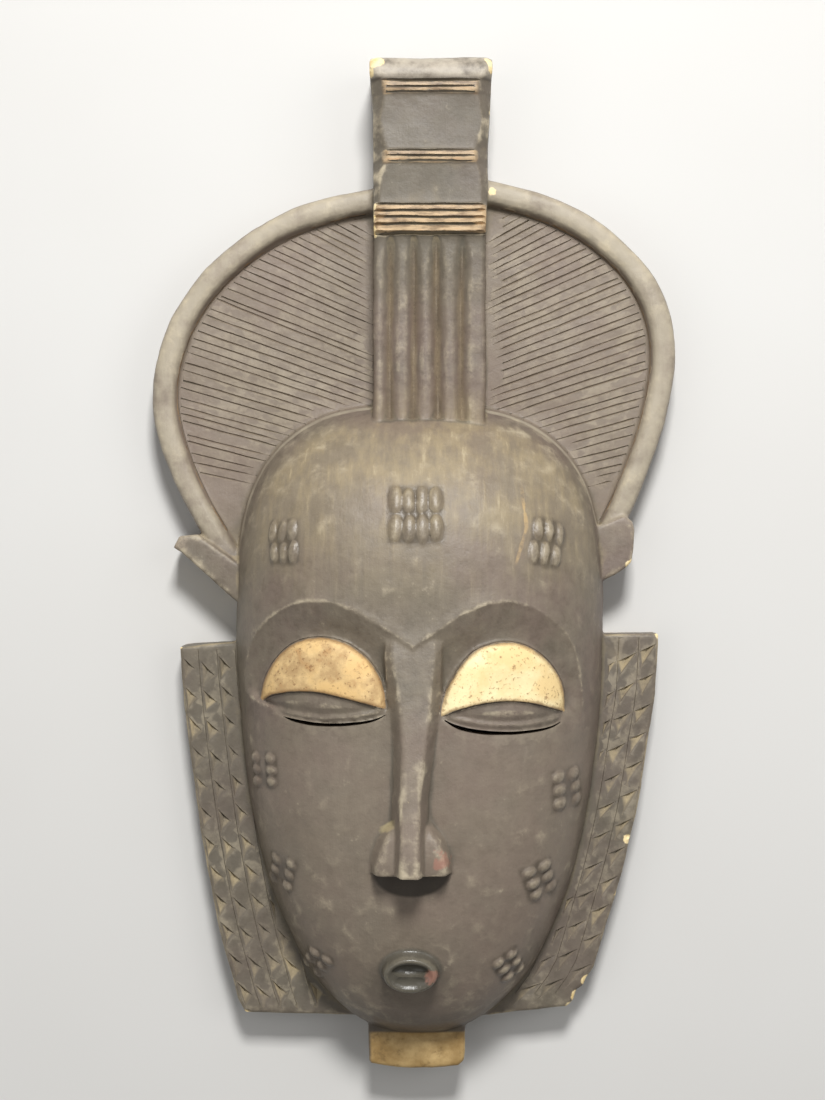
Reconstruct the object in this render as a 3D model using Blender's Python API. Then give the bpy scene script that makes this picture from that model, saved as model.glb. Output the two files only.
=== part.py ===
"""A carved wooden face mask with a round crest, lying on its back.

The mask is one solid, carved from one block: a hollow egg-shaped face, a round crest with
a raised rim behind it, a tall fluted column down the middle of the crest, two flat wings
beside the cheeks, two ears and a tab under the chin. The crest points to +Y, the face
looks to +Z, and the origin is under the middle of the mask, on the surface it lies on.
Sizes are in metres. Left and right are those of someone who looks at the mask.
"""
import math

import bmesh
import bpy
from mathutils import Matrix, Vector

LEFT = -1
RIGHT = 1

# The whole mask, and the wood left between the face and the hollow behind it.
MASK_LENGTH = 0.472
CREST_WIDTH = 0.2484
WALL = 0.012

# Face: an egg seen from the front. Its widest line lies FOREHEAD_RISE below the hairline
# and JAW_LENGTH above the chin, and the tab reaches TAB_DROP below the chin.
FACE_X = 0.0029
FACE_HALF_WIDTH = 0.0875
FACE_DEPTH = 0.078
FOREHEAD_RISE = 0.0946
JAW_LENGTH = 0.2055
TAB_DROP = 0.0145
FOREHEAD_PLAN, FOREHEAD_PROFILE = 2.75, 2.2
JAW_PLAN, JAW_PROFILE = 2.3, 3.0
FACE_SECTION = 2.5
FACE_AROUND = 40
FACE_ALONG = 32
HOLLOW_AROUND = 28
HOLLOW_ALONG = 22
EGG_SINK = 0.0005

# Crest: a slab whose rim stands above a sunk field with fine cuts in it. Each quarter of
# its edge is a superellipse about a point CREST_MID_RISE above the hairline: how far it
# reaches, and its exponent. The cuts start at the column, around the hairline.
RIM_TOP = 0.025
FIELD_TOP = 0.0185
RIM_WIDTH = 0.0118
RIM_ROUND = 0.003
CREST_MID_RISE = {LEFT: 0.0004, RIGHT: 0.0194}
CREST_UPPER = {LEFT: (0.101, 2.0), RIGHT: (0.087, 2.15)}
CREST_LOWER = {LEFT: (0.140, 1.6), RIGHT: (0.170, 1.6)}
CREST_STEPS = 18
CREST_FOOT_RISE = 0.006
CUT_PITCH = 0.0035
CUT_WIDTH = 0.0015
CUT_DEPTH = 0.0011
CUT_MARGIN = 0.004
CUTS_ABOVE = 0.0584
CUTS_BELOW = 0.0536
CUT_SLOPE_TOP, CUT_SLOPE_LOW = 29.0, 13.0

# Column: a tapered post with a cap, two pairs of rings, four bands and four flutes.
COLUMN_X = 0.0075
COLUMN_WIDTH_TOP = 0.0566
COLUMN_WIDTH_FOOT = 0.0515
COLUMN_FRONT = 0.045
COLUMN_ROUND = 0.003
PANEL_SINK = 0.0014
FLUTED_SINK = 0.0035
CAP_LENGTH = 0.0118
RING_WIDTH = 0.0029
LOWER_RING_DROP = 0.0445
BAND_DROP = 0.0692
BAND_PITCH = 0.00345
BANDS = 4
GROOVE_WIDTH = 0.0012
GROOVE_DEPTH = 0.0016
FLUTES = 4
FLUTE_PITCH = 0.0112
FLUTE_RADIUS = 0.0030
FLUTE_OUT = 0.0005
SCOOP = (0.0056, 0.021, 0.0075)
SCOOP_OUT = 0.0005
COLUMN_INSIDE = 0.009

# Wings: flat slabs beside the cheeks, with four columns of triangular chips. Their tops lie
# below the face's widest line and their feet above the chin. CHIP_FALL, CHIP_TIP and
# CHIP_LEAN say where a chip's corners lie, as shares of its pitch and width.
WING_TOP_DROP = {LEFT: 0.0215, RIGHT: 0.0165}
WING_FOOT_RISE = {LEFT: 0.0103, RIGHT: 0.0126}
WING_OUT_TOP = {LEFT: -0.1108, RIGHT: 0.1165}
WING_OUT_FOOT = {LEFT: -0.0795, RIGHT: 0.0790}
WING_BOW = 0.0065
WING_FRONT = 0.020
WING_ROUND = 0.0015
WING_INSIDE = 0.008
WING_STEPS = 8
CHIP_COLUMNS = 4
CHIP_WIDTH = 0.0092
CHIP_PITCH = 0.0138
CHIP_DEPTH = 0.0022
CHIP_MARGIN = 0.0022
CHIP_FALL, CHIP_TIP, CHIP_LEAN = 0.30, 0.88, 0.10
CHIP_SLANT = 0.12
CHIP_OVER = 1.5
BROKEN_CORNER = 0.013
BROKEN_IN, BROKEN_DOWN, BROKEN_FOOT = 0.30, 0.55, 0.75

# Ears: the outline of each, as steps from its root, which lies EAR_RISE above the face's
# widest line and EAR_OUT from the mask's middle.
EAR_FRONT = 0.027
EAR_BACK = 0.006
EAR_OUT = {LEFT: -0.102, RIGHT: 0.103}
EAR_RISE = {LEFT: 0.0305, RIGHT: 0.036}
EAR_STEPS = {
    LEFT: ((0.0, 0.0), (-0.0085, -0.0005), (-0.0115, -0.0055), (-0.0065, -0.0100),
           (0.0190, -0.0320), (0.0380, -0.0340), (0.0380, -0.0050), (0.0200, -0.0120)),
    RIGHT: ((0.0, 0.0), (0.0010, -0.0040), (0.0, -0.0180), (-0.0050, -0.0215),
            (-0.0150, -0.0270), (-0.0300, -0.0300), (-0.0300, -0.0020), (-0.0120, 0.0020)),
}

# Tab under the chin.
TAB_X = 0.0015
TAB_WIDTH = 0.0454
TAB_FRONT = 0.026
TAB_BOW = 0.003
TAB_ROUND = 0.002
TAB_INSIDE = 0.007

# Carving on the face is placed in shares of it: across from its middle line, and along from
# its widest line, above 0 to the hairline and below 0 to the chin.
FEATURE_ACROSS = -0.0446
NOSE_TOP_ALONG, NOSE_FOOT_ALONG = -0.0681, -0.5864
MOUTH_ALONG = -0.8097
EYE_PLACE = {LEFT: (-0.5017, -0.2165), RIGHT: (0.4240, -0.2336)}

# Eyes: a socket scooped out under a raised brow, a bulging upper lid, a narrow closed eye
# with a lower lid, and a slit under it that goes through to the hollow.
LID_HALF_WIDTH = 0.0285
LID_RISE = 0.0290
LID_BULGE = 0.0085
LID_SEAT = 0.0020
SOCKET = (0.0345, 0.0400, 0.0100)
SOCKET_UP = 0.0060
BROW_HALF_WIDTH = 0.0365
BROW_RISE = 0.0450
BROW_PLAN = 2.3
BROW_RADIUS = 0.0042
BROW_SINK = 0.0015
BROW_STEPS = 14
BROW_ENDS = (-8.0, 152.0)
EYE_HALF_HEIGHT = 0.0052
EYE_BULGE = 0.0050
EYE_SINK = 0.0020
EYE_DROP = 0.0012
SLIT_WIDTH = 0.0022
SLIT_DROP = 0.0085
SLIT_SAG = 0.0060
SLIT_HALF_LENGTH = 0.0215
SLIT_STEPS = 8

# Nose: a straight ridge that widens into two flat nostrils and ends in a flat underside.
NOSE_RISE_TOP = 0.0045
NOSE_RISE_FOOT = 0.0195
NOSE_BACK_WIDTH = 0.0205
NOSE_FRONT_WIDTH = 0.0090
NOSTRIL_WIDTH = 0.0367
NOSTRIL_TOP_WIDTH = 0.0200
NOSTRIL_FRONT_WIDTH = 0.0312
NOSTRIL_TOP_FRONT_WIDTH = 0.0180
NOSTRIL_LENGTH = 0.0200
NOSTRIL_RISE = 0.0120
NOSTRIL_TOP_RISE = 0.0084

# Mouth: a round cup, wider at its foot than at its rim, with two lips in it.
MOUTH_HALF_WIDTH = 0.0130
MOUTH_HALF_HEIGHT = 0.0098
MOUTH_RISE = 0.0075
MOUTH_RIM = 0.0040
MOUTH_RIM_ABOVE = 0.0032
MOUTH_FOOT_SHARE, MOUTH_TOP_SHARE = 1.12, 0.92
CUP_UP = 0.0008
CUP_DEPTH = 0.0053
LIP_HALF_HEIGHT = 0.0032
LIP_APART = 0.0029
LIP_UP = 0.0034
LIP_BULGE = 0.0024

# Raised scars: place on the face, columns, half-length and half-width of one, and its turn.
# Each is a stretched ball whose middle lies SCAR_SINK inside the wood.
SCAR_RISE = 0.0014
SCAR_SINK = 0.0004
SCAR_ROWS = 2
FOREHEAD_SCARS = 4
CHEEK_SCARS = 3
SCAR_PITCH = 1.06
SCARS = (
    ((-0.0229, 0.4165), FOREHEAD_SCARS, 0.0062, 0.0029, 0.0),
    ((-0.7074, 0.2854), CHEEK_SCARS, 0.0050, 0.0022, 4.0),
    ((0.6526, 0.2833), CHEEK_SCARS, 0.0052, 0.0025, -12.0),
    ((-0.8206, -0.3747), CHEEK_SCARS, 0.0035, 0.0026, 94.0),
    ((-0.7280, -0.6058), CHEEK_SCARS, 0.0035, 0.0026, 80.0),
    ((-0.5474, -0.8127), CHEEK_SCARS, 0.0032, 0.0023, 62.0),
    ((0.7669, -0.4136), CHEEK_SCARS, 0.0040, 0.0030, 96.0),
    ((0.6240, -0.6156), CHEEK_SCARS, 0.0036, 0.0027, 108.0),
    ((0.4697, -0.8127), CHEEK_SCARS, 0.0032, 0.0023, 118.0),
)

# How far a form runs on inside its neighbour, and a cutter past the wood. Points closer
# than SLIVER are merged once the forms are joined.
OVERRUN = 0.010
SLIVER = 0.000005

COLUMN_TOP_Y = MASK_LENGTH / 2
CHIN_Y = -MASK_LENGTH / 2 + TAB_DROP
FACE_MID_Y = CHIN_Y + JAW_LENGTH
HAIRLINE_Y = FACE_MID_Y + FOREHEAD_RISE
CREST_FOOT = FACE_MID_Y + CREST_FOOT_RISE
CREST_MID = {side: HAIRLINE_Y + rise for side, rise in CREST_MID_RISE.items()}
WING_TOP_Y = {side: FACE_MID_Y - drop for side, drop in WING_TOP_DROP.items()}
WING_FOOT_Y = {side: CHIN_Y + rise for side, rise in WING_FOOT_RISE.items()}
BAND_TOP_Y = COLUMN_TOP_Y - BAND_DROP
FLUTED_TOP_Y = BAND_TOP_Y - BANDS * BAND_PITCH


def clear_scene():
    """Remove every object of the scene."""
    for old in list(bpy.data.objects):
        bpy.data.objects.remove(old, do_unlink=True)


def painted_wood():
    """Dark brown paint on wood, worn and dusty."""
    material = bpy.data.materials.new("painted_wood")
    material.use_nodes = True
    shader = material.node_tree.nodes["Principled BSDF"]
    shader.inputs["Base Color"].default_value = (0.165, 0.130, 0.100, 1.0)
    shader.inputs["Roughness"].default_value = 0.55
    shader.inputs["Metallic"].default_value = 0.0
    return material


def new_collection(name):
    """A collection of the scene."""
    collection = bpy.data.collections.new(name)
    bpy.context.scene.collection.children.link(collection)
    return collection


def place(shape, name, collection, is_guide=True):
    """Turn a bmesh into an object; a guide is cut from or joined to the mask."""
    bmesh.ops.recalc_face_normals(shape, faces=shape.faces)
    if shape.calc_volume(signed=True) < 0:
        bmesh.ops.reverse_faces(shape, faces=shape.faces)
    mesh = bpy.data.meshes.new(name)
    shape.to_mesh(mesh)
    shape.free()
    thing = bpy.data.objects.new(name, mesh)
    collection.objects.link(thing)
    if is_guide:
        thing.hide_render = True
        thing.display_type = "WIRE"
    return thing


def boolean(target, operation, collection):
    """Join a collection's forms to an object, or cut them from it."""
    modifier = target.modifiers.new(operation.lower(), "BOOLEAN")
    modifier.operation = operation
    modifier.operand_type = "COLLECTION"
    modifier.collection = collection
    modifier.solver = "EXACT"


def weld(target):
    """Merge the points that a join leaves almost in one place."""
    modifier = target.modifiers.new("weld", "WELD")
    modifier.merge_threshold = SLIVER


def bow(share, exponent):
    """Height of a superellipse of radius 1 at a share of its half-width."""
    return max(0.0, 1.0 - min(1.0, abs(share)) ** exponent) ** (1.0 / exponent)


def rounded(value, exponent):
    """Sine or cosine of a superellipse's angle."""
    return math.copysign(abs(value) ** (2.0 / exponent), value)


def face_section(y, wall=0.0):
    """Half-width and height of the face's section at y, less a wall."""
    along = y - FACE_MID_Y
    reach, plan, profile = JAW_LENGTH, JAW_PLAN, JAW_PROFILE
    if along > 0:
        reach, plan, profile = FOREHEAD_RISE, FOREHEAD_PLAN, FOREHEAD_PROFILE
    share = along / (reach - wall)
    half = (FACE_HALF_WIDTH - wall) * bow(share, plan)
    return half, (FACE_DEPTH - wall) * bow(share, profile)


def face_point(across, along):
    """Point on the plan of the face, from its places across and along it."""
    reach = FOREHEAD_RISE if along > 0 else JAW_LENGTH
    return FACE_X + across * FACE_HALF_WIDTH, FACE_MID_Y + along * reach


def face_z(x, y):
    """Height of the plain face at a point, and 0 outside it."""
    half, height = face_section(y)
    if abs(x - FACE_X) >= half:
        return 0.0
    return height * bow((x - FACE_X) / half, FACE_SECTION)


def on_face(x, y, rise=0.0):
    """Placement on the face with +Z along its outward normal."""
    step = 0.002
    slope_x = (face_z(x + step, y) - face_z(x - step, y)) / (2 * step)
    slope_y = (face_z(x, y + step) - face_z(x, y - step)) / (2 * step)
    normal = Vector((-slope_x, -slope_y, 1.0)).normalized()
    across = Vector((0.0, 1.0, 0.0)).cross(normal).normalized()
    turn = Matrix((across, normal.cross(across), normal)).transposed().to_4x4()
    return Matrix.Translation(Vector((x, y, face_z(x, y))) + normal * rise) @ turn


def egg(around, along, wall=0.0):
    """The face's egg: a sphere with its poles at hairline and chin, reshaped.

    Its widest points lie EGG_SINK below the flat back, so that no edge lies in the back.
    """
    shape = bmesh.new()
    bmesh.ops.create_uvsphere(shape, u_segments=around, v_segments=along, radius=1.0)
    for vert in shape.verts:
        reach = (FOREHEAD_RISE if vert.co.z > 0 else JAW_LENGTH) - wall
        y = FACE_MID_Y + vert.co.z * reach
        angle = math.atan2(vert.co.y, vert.co.x)
        half, height = face_section(y, wall)
        depth = height if vert.co.y > 0 else min(height, 2 * OVERRUN)
        x = FACE_X + half * rounded(math.cos(angle), FACE_SECTION)
        z = depth * rounded(math.sin(angle), FACE_SECTION)
        vert.co = Vector((x, y, min(z, -EGG_SINK) if z < EGG_SINK else z))
    return shape


def slab(outline, bottom, top, round_edge=0.0):
    """A flat outline given thickness, with its upper edge rounded."""
    shape = bmesh.new()
    ring = [shape.verts.new((x, y, bottom)) for x, y in outline]
    base = shape.faces.new(ring)
    raised = bmesh.ops.extrude_face_region(shape, geom=[base], use_keep_orig=True)
    top_verts = [item for item in raised["geom"] if isinstance(item, bmesh.types.BMVert)]
    bmesh.ops.translate(shape, verts=top_verts, vec=(0.0, 0.0, top - bottom))
    if round_edge:
        edges = [edge for edge in shape.edges if all(v in top_verts for v in edge.verts)]
        bmesh.ops.bevel(shape, geom=edges, offset=round_edge, segments=2,
                        profile=0.5, affect="EDGES", material=-1)
    return shape


def ball(matrix, size, around=12, along=8, foot=None):
    """A stretched sphere, cut off flat below its foot where one is given."""
    shape = bmesh.new()
    bmesh.ops.create_uvsphere(shape, u_segments=around, v_segments=along, radius=1.0,
                              matrix=Matrix.Diagonal((*size, 1.0)))
    if foot is not None:
        bmesh.ops.bisect_plane(shape, geom=[*shape.verts, *shape.edges, *shape.faces],
                               plane_co=(0.0, foot, 0.0), plane_no=(0.0, -1.0, 0.0),
                               clear_outer=True)
        bmesh.ops.holes_fill(shape, edges=shape.edges, sides=0)
    bmesh.ops.transform(shape, matrix=matrix, verts=shape.verts)
    return shape


def block(low, high):
    """A box between two corners."""
    shape = bmesh.new()
    size = [b - a for a, b in zip(low, high)]
    middle = Vector([(a + b) / 2 for a, b in zip(low, high)])
    bmesh.ops.create_cube(shape, size=1.0,
                          matrix=Matrix.Translation(middle) @ Matrix.Diagonal((*size, 1.0)))
    return shape


def add_groove(shape, start, end, width, depth):
    """Add a V-shaped cutter that runs along a surface between two points on it."""
    start, end = Vector(start), Vector(end)
    along = (end - start).normalized()
    across = Vector((0.0, 0.0, 1.0)).cross(along).normalized()
    up = along.cross(across)
    turn = Matrix((across, up, along)).transposed().to_4x4()
    # The three-sided rod is 1.5 radii high and twice 0.866 radii wide, with a corner at +Y.
    # It stands as far above the surface as it cuts into it.
    wide, high = width / math.cos(math.radians(30.0)), 2 * depth / 1.5
    size = Matrix.Diagonal((wide, high, 1.0, 1.0))
    point_down = Matrix.Rotation(math.pi, 4, "Z")
    middle = Matrix.Translation((start + end) / 2 + up * (high - depth))
    bmesh.ops.create_cone(shape, cap_ends=True, segments=3, radius1=1.0, radius2=1.0,
                          depth=(end - start).length,
                          matrix=middle @ turn @ size @ point_down)


def crest_edge(side, angle, inset=0.0):
    """Point on the crest's edge: 90 degrees is its top, and below 0 is towards the ear."""
    reach, exponent = (CREST_UPPER if angle > 0 else CREST_LOWER)[side]
    turn = math.radians(angle)
    x = side * (CREST_WIDTH / 2 - inset) * rounded(math.cos(turn), exponent)
    return x, CREST_MID[side] + (reach - inset) * rounded(math.sin(turn), exponent)


def crest_outline(inset=0.0):
    """The crest's edge from low on the right, over the top, to low on the left."""
    points = []
    for side in (RIGHT, LEFT):
        half = [crest_edge(side, -90.0 + 180.0 * step / (2 * CREST_STEPS), inset)
                for step in range(2 * CREST_STEPS)]
        half = [(x, y) for x, y in half if y > CREST_FOOT]
        points += half if side == RIGHT else half[::-1]
    return points


def crest_reach(side, y, slope):
    """Where a cut that climbs from the column meets the inside of the crest's rim."""
    distance = 0.0
    while True:
        distance += 0.001
        x, rise = COLUMN_X + side * distance, y + distance * slope
        above = rise - CREST_MID[side]
        reach, exponent = (CREST_UPPER if above > 0 else CREST_LOWER)[side]
        limit = (CREST_WIDTH / 2 - RIM_WIDTH) * bow(above / (reach - RIM_WIDTH), exponent)
        if abs(x) > limit - CUT_MARGIN:
            return x, rise


def make_crest(forms):
    """The crest's slab with its sunk field and the fine cuts in the field."""
    carving = new_collection("crest_cutters")
    place(slab(crest_outline(RIM_WIDTH), FIELD_TOP, RIM_TOP + OVERRUN), "field", carving)
    count = int((CUTS_ABOVE + CUTS_BELOW) / CUT_PITCH)
    for side in (LEFT, RIGHT):
        cuts = bmesh.new()
        for number in range(count):
            angle = CUT_SLOPE_TOP + (CUT_SLOPE_LOW - CUT_SLOPE_TOP) * number / count
            y = HAIRLINE_Y + CUTS_ABOVE - number * CUT_PITCH
            x_end, y_end = crest_reach(side, y, math.tan(math.radians(angle)))
            start = COLUMN_X + side * COLUMN_WIDTH_FOOT / 4
            add_groove(cuts, (start, y, FIELD_TOP), (x_end, y_end, FIELD_TOP),
                       CUT_WIDTH, CUT_DEPTH)
        place(cuts, "fine_cuts", carving)
    crest = place(slab(crest_outline(), -OVERRUN, RIM_TOP, RIM_ROUND), "crest", forms)
    boolean(crest, "DIFFERENCE", carving)


def make_column(forms):
    """The post on the crest with its cap, rings, bands, flutes and scooped corners."""
    carving = new_collection("column_cutters")
    foot = HAIRLINE_Y - 2 * OVERRUN
    shape = block((-1.0, foot, -COLUMN_INSIDE), (1.0, COLUMN_TOP_Y, COLUMN_FRONT))
    halfway = (foot + COLUMN_TOP_Y) / 2
    for vert in shape.verts:
        width = COLUMN_WIDTH_TOP if vert.co.y > halfway else COLUMN_WIDTH_FOOT
        vert.co.x = COLUMN_X + math.copysign(width / 2, vert.co.x)
    upper = [edge for edge in shape.edges
             if all(v.co.z > 0 and v.co.y > halfway for v in edge.verts)]
    bmesh.ops.bevel(shape, geom=upper, offset=COLUMN_ROUND, segments=2, profile=0.5,
                    affect="EDGES", material=-1)
    column = place(shape, "column", forms)
    low_x, high_x = COLUMN_X - COLUMN_WIDTH_TOP, COLUMN_X + COLUMN_WIDTH_TOP

    def sink(top_y, foot_y, depth, name):
        cut = block((low_x, foot_y, COLUMN_FRONT - depth), (high_x, top_y, COLUMN_FRONT + OVERRUN))
        place(cut, name, carving)

    upper_ring = COLUMN_TOP_Y - CAP_LENGTH
    lower_ring = COLUMN_TOP_Y - LOWER_RING_DROP
    sink(upper_ring - 2 * RING_WIDTH, lower_ring, PANEL_SINK, "upper_panel")
    sink(lower_ring - 2 * RING_WIDTH, BAND_TOP_Y, PANEL_SINK, "lower_panel")
    sink(FLUTED_TOP_Y, foot - OVERRUN, FLUTED_SINK, "fluted_face")

    grooves = bmesh.new()
    lines = [BAND_TOP_Y - number * BAND_PITCH for number in range(1, BANDS)]
    lines += [upper_ring, upper_ring - RING_WIDTH, lower_ring - RING_WIDTH]
    for y in lines:
        add_groove(grooves, (low_x, y, COLUMN_FRONT), (high_x, y, COLUMN_FRONT),
                   GROOVE_WIDTH, GROOVE_DEPTH)
    place(grooves, "grooves", carving)

    flutes = bmesh.new()
    length = FLUTED_TOP_Y - GROOVE_WIDTH - foot + OVERRUN
    for number in range(FLUTES):
        x = COLUMN_X + (number - (FLUTES - 1) / 2) * FLUTE_PITCH
        middle = (x, FLUTED_TOP_Y - GROOVE_WIDTH - length / 2,
                  COLUMN_FRONT - FLUTED_SINK + FLUTE_OUT)
        bmesh.ops.create_cone(flutes, cap_ends=True, segments=8, radius1=FLUTE_RADIUS,
                              radius2=FLUTE_RADIUS, depth=length,
                              matrix=Matrix.Translation(middle)
                              @ Matrix.Rotation(math.pi / 2, 4, "X"))
    place(flutes, "flutes", carving)

    for side in (LEFT, RIGHT):
        for y in (upper_ring, lower_ring):
            share = (y - foot) / (COLUMN_TOP_Y - foot)
            width = COLUMN_WIDTH_FOOT + (COLUMN_WIDTH_TOP - COLUMN_WIDTH_FOOT) * share
            corner = Matrix.Translation((COLUMN_X + side * (width / 2 + SCOOP_OUT), y + SCOOP_OUT,
                                         COLUMN_FRONT + SCOOP_OUT))
            place(ball(corner, SCOOP), "corner_scoop", carving)
    boolean(column, "DIFFERENCE", carving)


def wing_edge(side, share):
    """Point on a wing's bowed outer edge, from its top (0) to its foot (1)."""
    x = WING_OUT_TOP[side] + (WING_OUT_FOOT[side] - WING_OUT_TOP[side]) * share
    x += side * WING_BOW * 4 * share * (1 - share)
    return x, WING_TOP_Y[side] + (WING_FOOT_Y[side] - WING_TOP_Y[side]) * share


def wing_outline(side):
    """A wing from its root under the face, round its outer edge, to the chin."""
    root_x, foot = FACE_X + side * WALL, WING_FOOT_Y[side]
    points = [(root_x, WING_TOP_Y[side])]
    broken = BROKEN_CORNER / (WING_TOP_Y[side] - foot) if side == RIGHT else 0.0
    points += [wing_edge(side, (1 - broken) * step / WING_STEPS)
               for step in range(WING_STEPS + 1)]
    if broken:
        x, y = points[-1]
        points.append((x - side * BROKEN_CORNER * BROKEN_IN, y - BROKEN_CORNER * BROKEN_DOWN))
        points.append((WING_OUT_FOOT[side] - side * BROKEN_CORNER * BROKEN_FOOT, foot))
    points.append((TAB_X + side * TAB_WIDTH / 2, foot - TAB_ROUND))
    points.append((root_x, foot))
    return points if side == LEFT else points[::-1]


def add_chip(shape, corners, depth):
    """Add a triangular chip's cutter: steep under its first two corners, sloping to the third."""
    corners = [Vector(corner) for corner in corners]
    deepest = (corners[0] + corners[1]) / 2 + Vector((0.0, 0.0, -depth))
    deepest += (corners[2] - deepest) * CHIP_SLANT
    added = bmesh.ops.create_cone(shape, cap_ends=True, segments=3, radius1=1.0, radius2=0.0,
                                  depth=1.0)["verts"]
    upper = [vert for vert in added if vert.co.z < 0]
    for vert in added:
        if vert not in upper:
            vert.co = deepest
    for vert, corner in zip(upper, corners):
        vert.co = deepest + (corner - deepest) * CHIP_OVER


def make_wings(forms):
    """The flat wings and their chip carving."""
    for side, name in ((LEFT, "left_wing"), (RIGHT, "right_wing")):
        carving = new_collection(name + "_cutters")
        chips = bmesh.new()
        length = WING_TOP_Y[side] - WING_FOOT_Y[side]
        for row in range(int((length - CHIP_PITCH / 2) / CHIP_PITCH)):
            down = CHIP_MARGIN + row * CHIP_PITCH
            y = WING_TOP_Y[side] - down
            edge_x, _ = wing_edge(side, down / length)
            low_x, _ = wing_edge(side, (down + CHIP_PITCH) / length)
            for column in range(CHIP_COLUMNS):
                inward = CHIP_MARGIN + column * (CHIP_WIDTH + CHIP_MARGIN / 2)
                out = edge_x - side * inward
                inner = edge_x - side * (inward + CHIP_WIDTH)
                low = low_x - side * (inward + CHIP_WIDTH * CHIP_LEAN)
                add_chip(chips, ((out, y, WING_FRONT),
                                 (inner, y - CHIP_PITCH * CHIP_FALL, WING_FRONT),
                                 (low, y - CHIP_PITCH * CHIP_TIP, WING_FRONT)), CHIP_DEPTH)
        place(chips, "chips", carving)
        wing = place(slab(wing_outline(side), -WING_INSIDE, WING_FRONT, WING_ROUND), name, forms)
        boolean(wing, "DIFFERENCE", carving)


def make_ears_and_tab(forms):
    """The cut-off ears, and the tab that the mask's foot was held by."""
    for side, name in ((LEFT, "left_ear"), (RIGHT, "right_ear")):
        root_x, root_y = EAR_OUT[side], FACE_MID_Y + EAR_RISE[side]
        outline = [(root_x + x, root_y + y) for x, y in EAR_STEPS[side]]
        place(slab(outline, EAR_BACK, EAR_FRONT), name, forms)
    half, top = TAB_WIDTH / 2, CHIN_Y + 2 * OVERRUN
    foot = -MASK_LENGTH / 2
    outline = [(TAB_X + half, top), (TAB_X - half, top)]
    outline += [(TAB_X + half * share, foot + TAB_BOW * share * share) for share in
                (-1.0, -0.5, 0.0, 0.5, 1.0)]
    place(slab(outline, -TAB_INSIDE, TAB_FRONT, TAB_ROUND), "tab", forms)


def tube(points, radius, name, collection):
    """A bent round bar through the points, as a closed mesh."""
    line = bpy.data.curves.new(name, "CURVE")
    line.dimensions = "3D"
    spline = line.splines.new("POLY")
    spline.points.add(len(points) - 1)
    for place_in_line, point in zip(spline.points, points):
        place_in_line.co = (*point, 1.0)
    line.bevel_depth = radius
    line.bevel_resolution = 1
    line.use_fill_caps = True
    bar = bpy.data.objects.new(name, line)
    bpy.context.scene.collection.objects.link(bar)
    graph = bpy.context.evaluated_depsgraph_get()
    shape = bmesh.new()
    shape.from_mesh(bpy.data.meshes.new_from_object(bar.evaluated_get(graph)))
    bpy.data.objects.remove(bar, do_unlink=True)
    bmesh.ops.remove_doubles(shape, verts=shape.verts, dist=0.00001)
    return place(shape, name, collection)


def make_eyes(forms, sockets, cutters):
    """Brows, sockets, bulging lids, narrow closed eyes and the slits under them."""
    for side in (LEFT, RIGHT):
        x, y = face_point(*EYE_PLACE[side])
        place(ball(on_face(x, y + SOCKET_UP), SOCKET, 20, 12, -SOCKET_UP), "socket", sockets)
        lid_size = (LID_HALF_WIDTH, LID_RISE, LID_BULGE)
        place(ball(on_face(x, y, LID_SEAT - LID_BULGE), lid_size, 20, 12, 0.0), "lid", forms)
        eye_size = (LID_HALF_WIDTH, EYE_HALF_HEIGHT, EYE_BULGE)
        place(ball(on_face(x, y - EYE_DROP, -EYE_SINK), eye_size, 16, 8), "closed_eye", forms)

        low, high = BROW_ENDS
        brow = []
        for step in range(BROW_STEPS + 1):
            angle = math.radians(low + (high - low) * step / BROW_STEPS)
            brow_x = x + side * BROW_HALF_WIDTH * rounded(math.cos(angle), BROW_PLAN)
            brow_y = y + BROW_RISE * rounded(math.sin(angle), BROW_PLAN)
            brow.append((brow_x, brow_y, face_z(brow_x, brow_y) - BROW_SINK))
        tube(brow, BROW_RADIUS, "brow", forms)

        slit = []
        for edge in (1, -1):
            for step in range(SLIT_STEPS):
                share = edge * (1 - 2 * step / SLIT_STEPS)
                sag = SLIT_SAG * (1 - share * share) + edge * SLIT_WIDTH / 2 * (1 - share * share)
                slit.append((x + SLIT_HALF_LENGTH * share, y - SLIT_DROP + SLIT_SAG / 2 - sag))
        place(slab(slit, FACE_DEPTH / 3, FACE_DEPTH + OVERRUN), "slit", cutters)


def wedge(name, forms, y_ends, back_widths, front_widths, rises):
    """A ridge on the face with a flat front, from its top end to its foot end."""
    middle_x = face_point(FEATURE_ACROSS, 0.0)[0]
    shape = block((-1.0, -1.0, -1.0), (1.0, 1.0, 1.0))
    for vert in shape.verts:
        end = 0 if vert.co.y > 0 else 1
        y, is_front = y_ends[end], vert.co.z > 0
        width = (front_widths if is_front else back_widths)[end]
        surface = face_z(middle_x, y)
        z = surface + rises[end] if is_front else surface - WALL / 2
        vert.co = Vector((middle_x + math.copysign(width / 2, vert.co.x), y, z))
    return place(shape, name, forms)


def make_nose(forms):
    """The nose: its ridge, and both nostrils as one flat-fronted step."""
    top_y = face_point(FEATURE_ACROSS, NOSE_TOP_ALONG)[1]
    foot_y = face_point(FEATURE_ACROSS, NOSE_FOOT_ALONG)[1]
    wedge("nose_ridge", forms, (top_y, foot_y), (NOSE_BACK_WIDTH, NOSE_BACK_WIDTH),
          (NOSE_FRONT_WIDTH, NOSE_FRONT_WIDTH), (NOSE_RISE_TOP, NOSE_RISE_FOOT))
    wedge("nostrils", forms, (foot_y + NOSTRIL_LENGTH, foot_y),
          (NOSTRIL_TOP_WIDTH, NOSTRIL_WIDTH), (NOSTRIL_TOP_FRONT_WIDTH, NOSTRIL_FRONT_WIDTH),
          (NOSTRIL_TOP_RISE, NOSTRIL_RISE))


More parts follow.
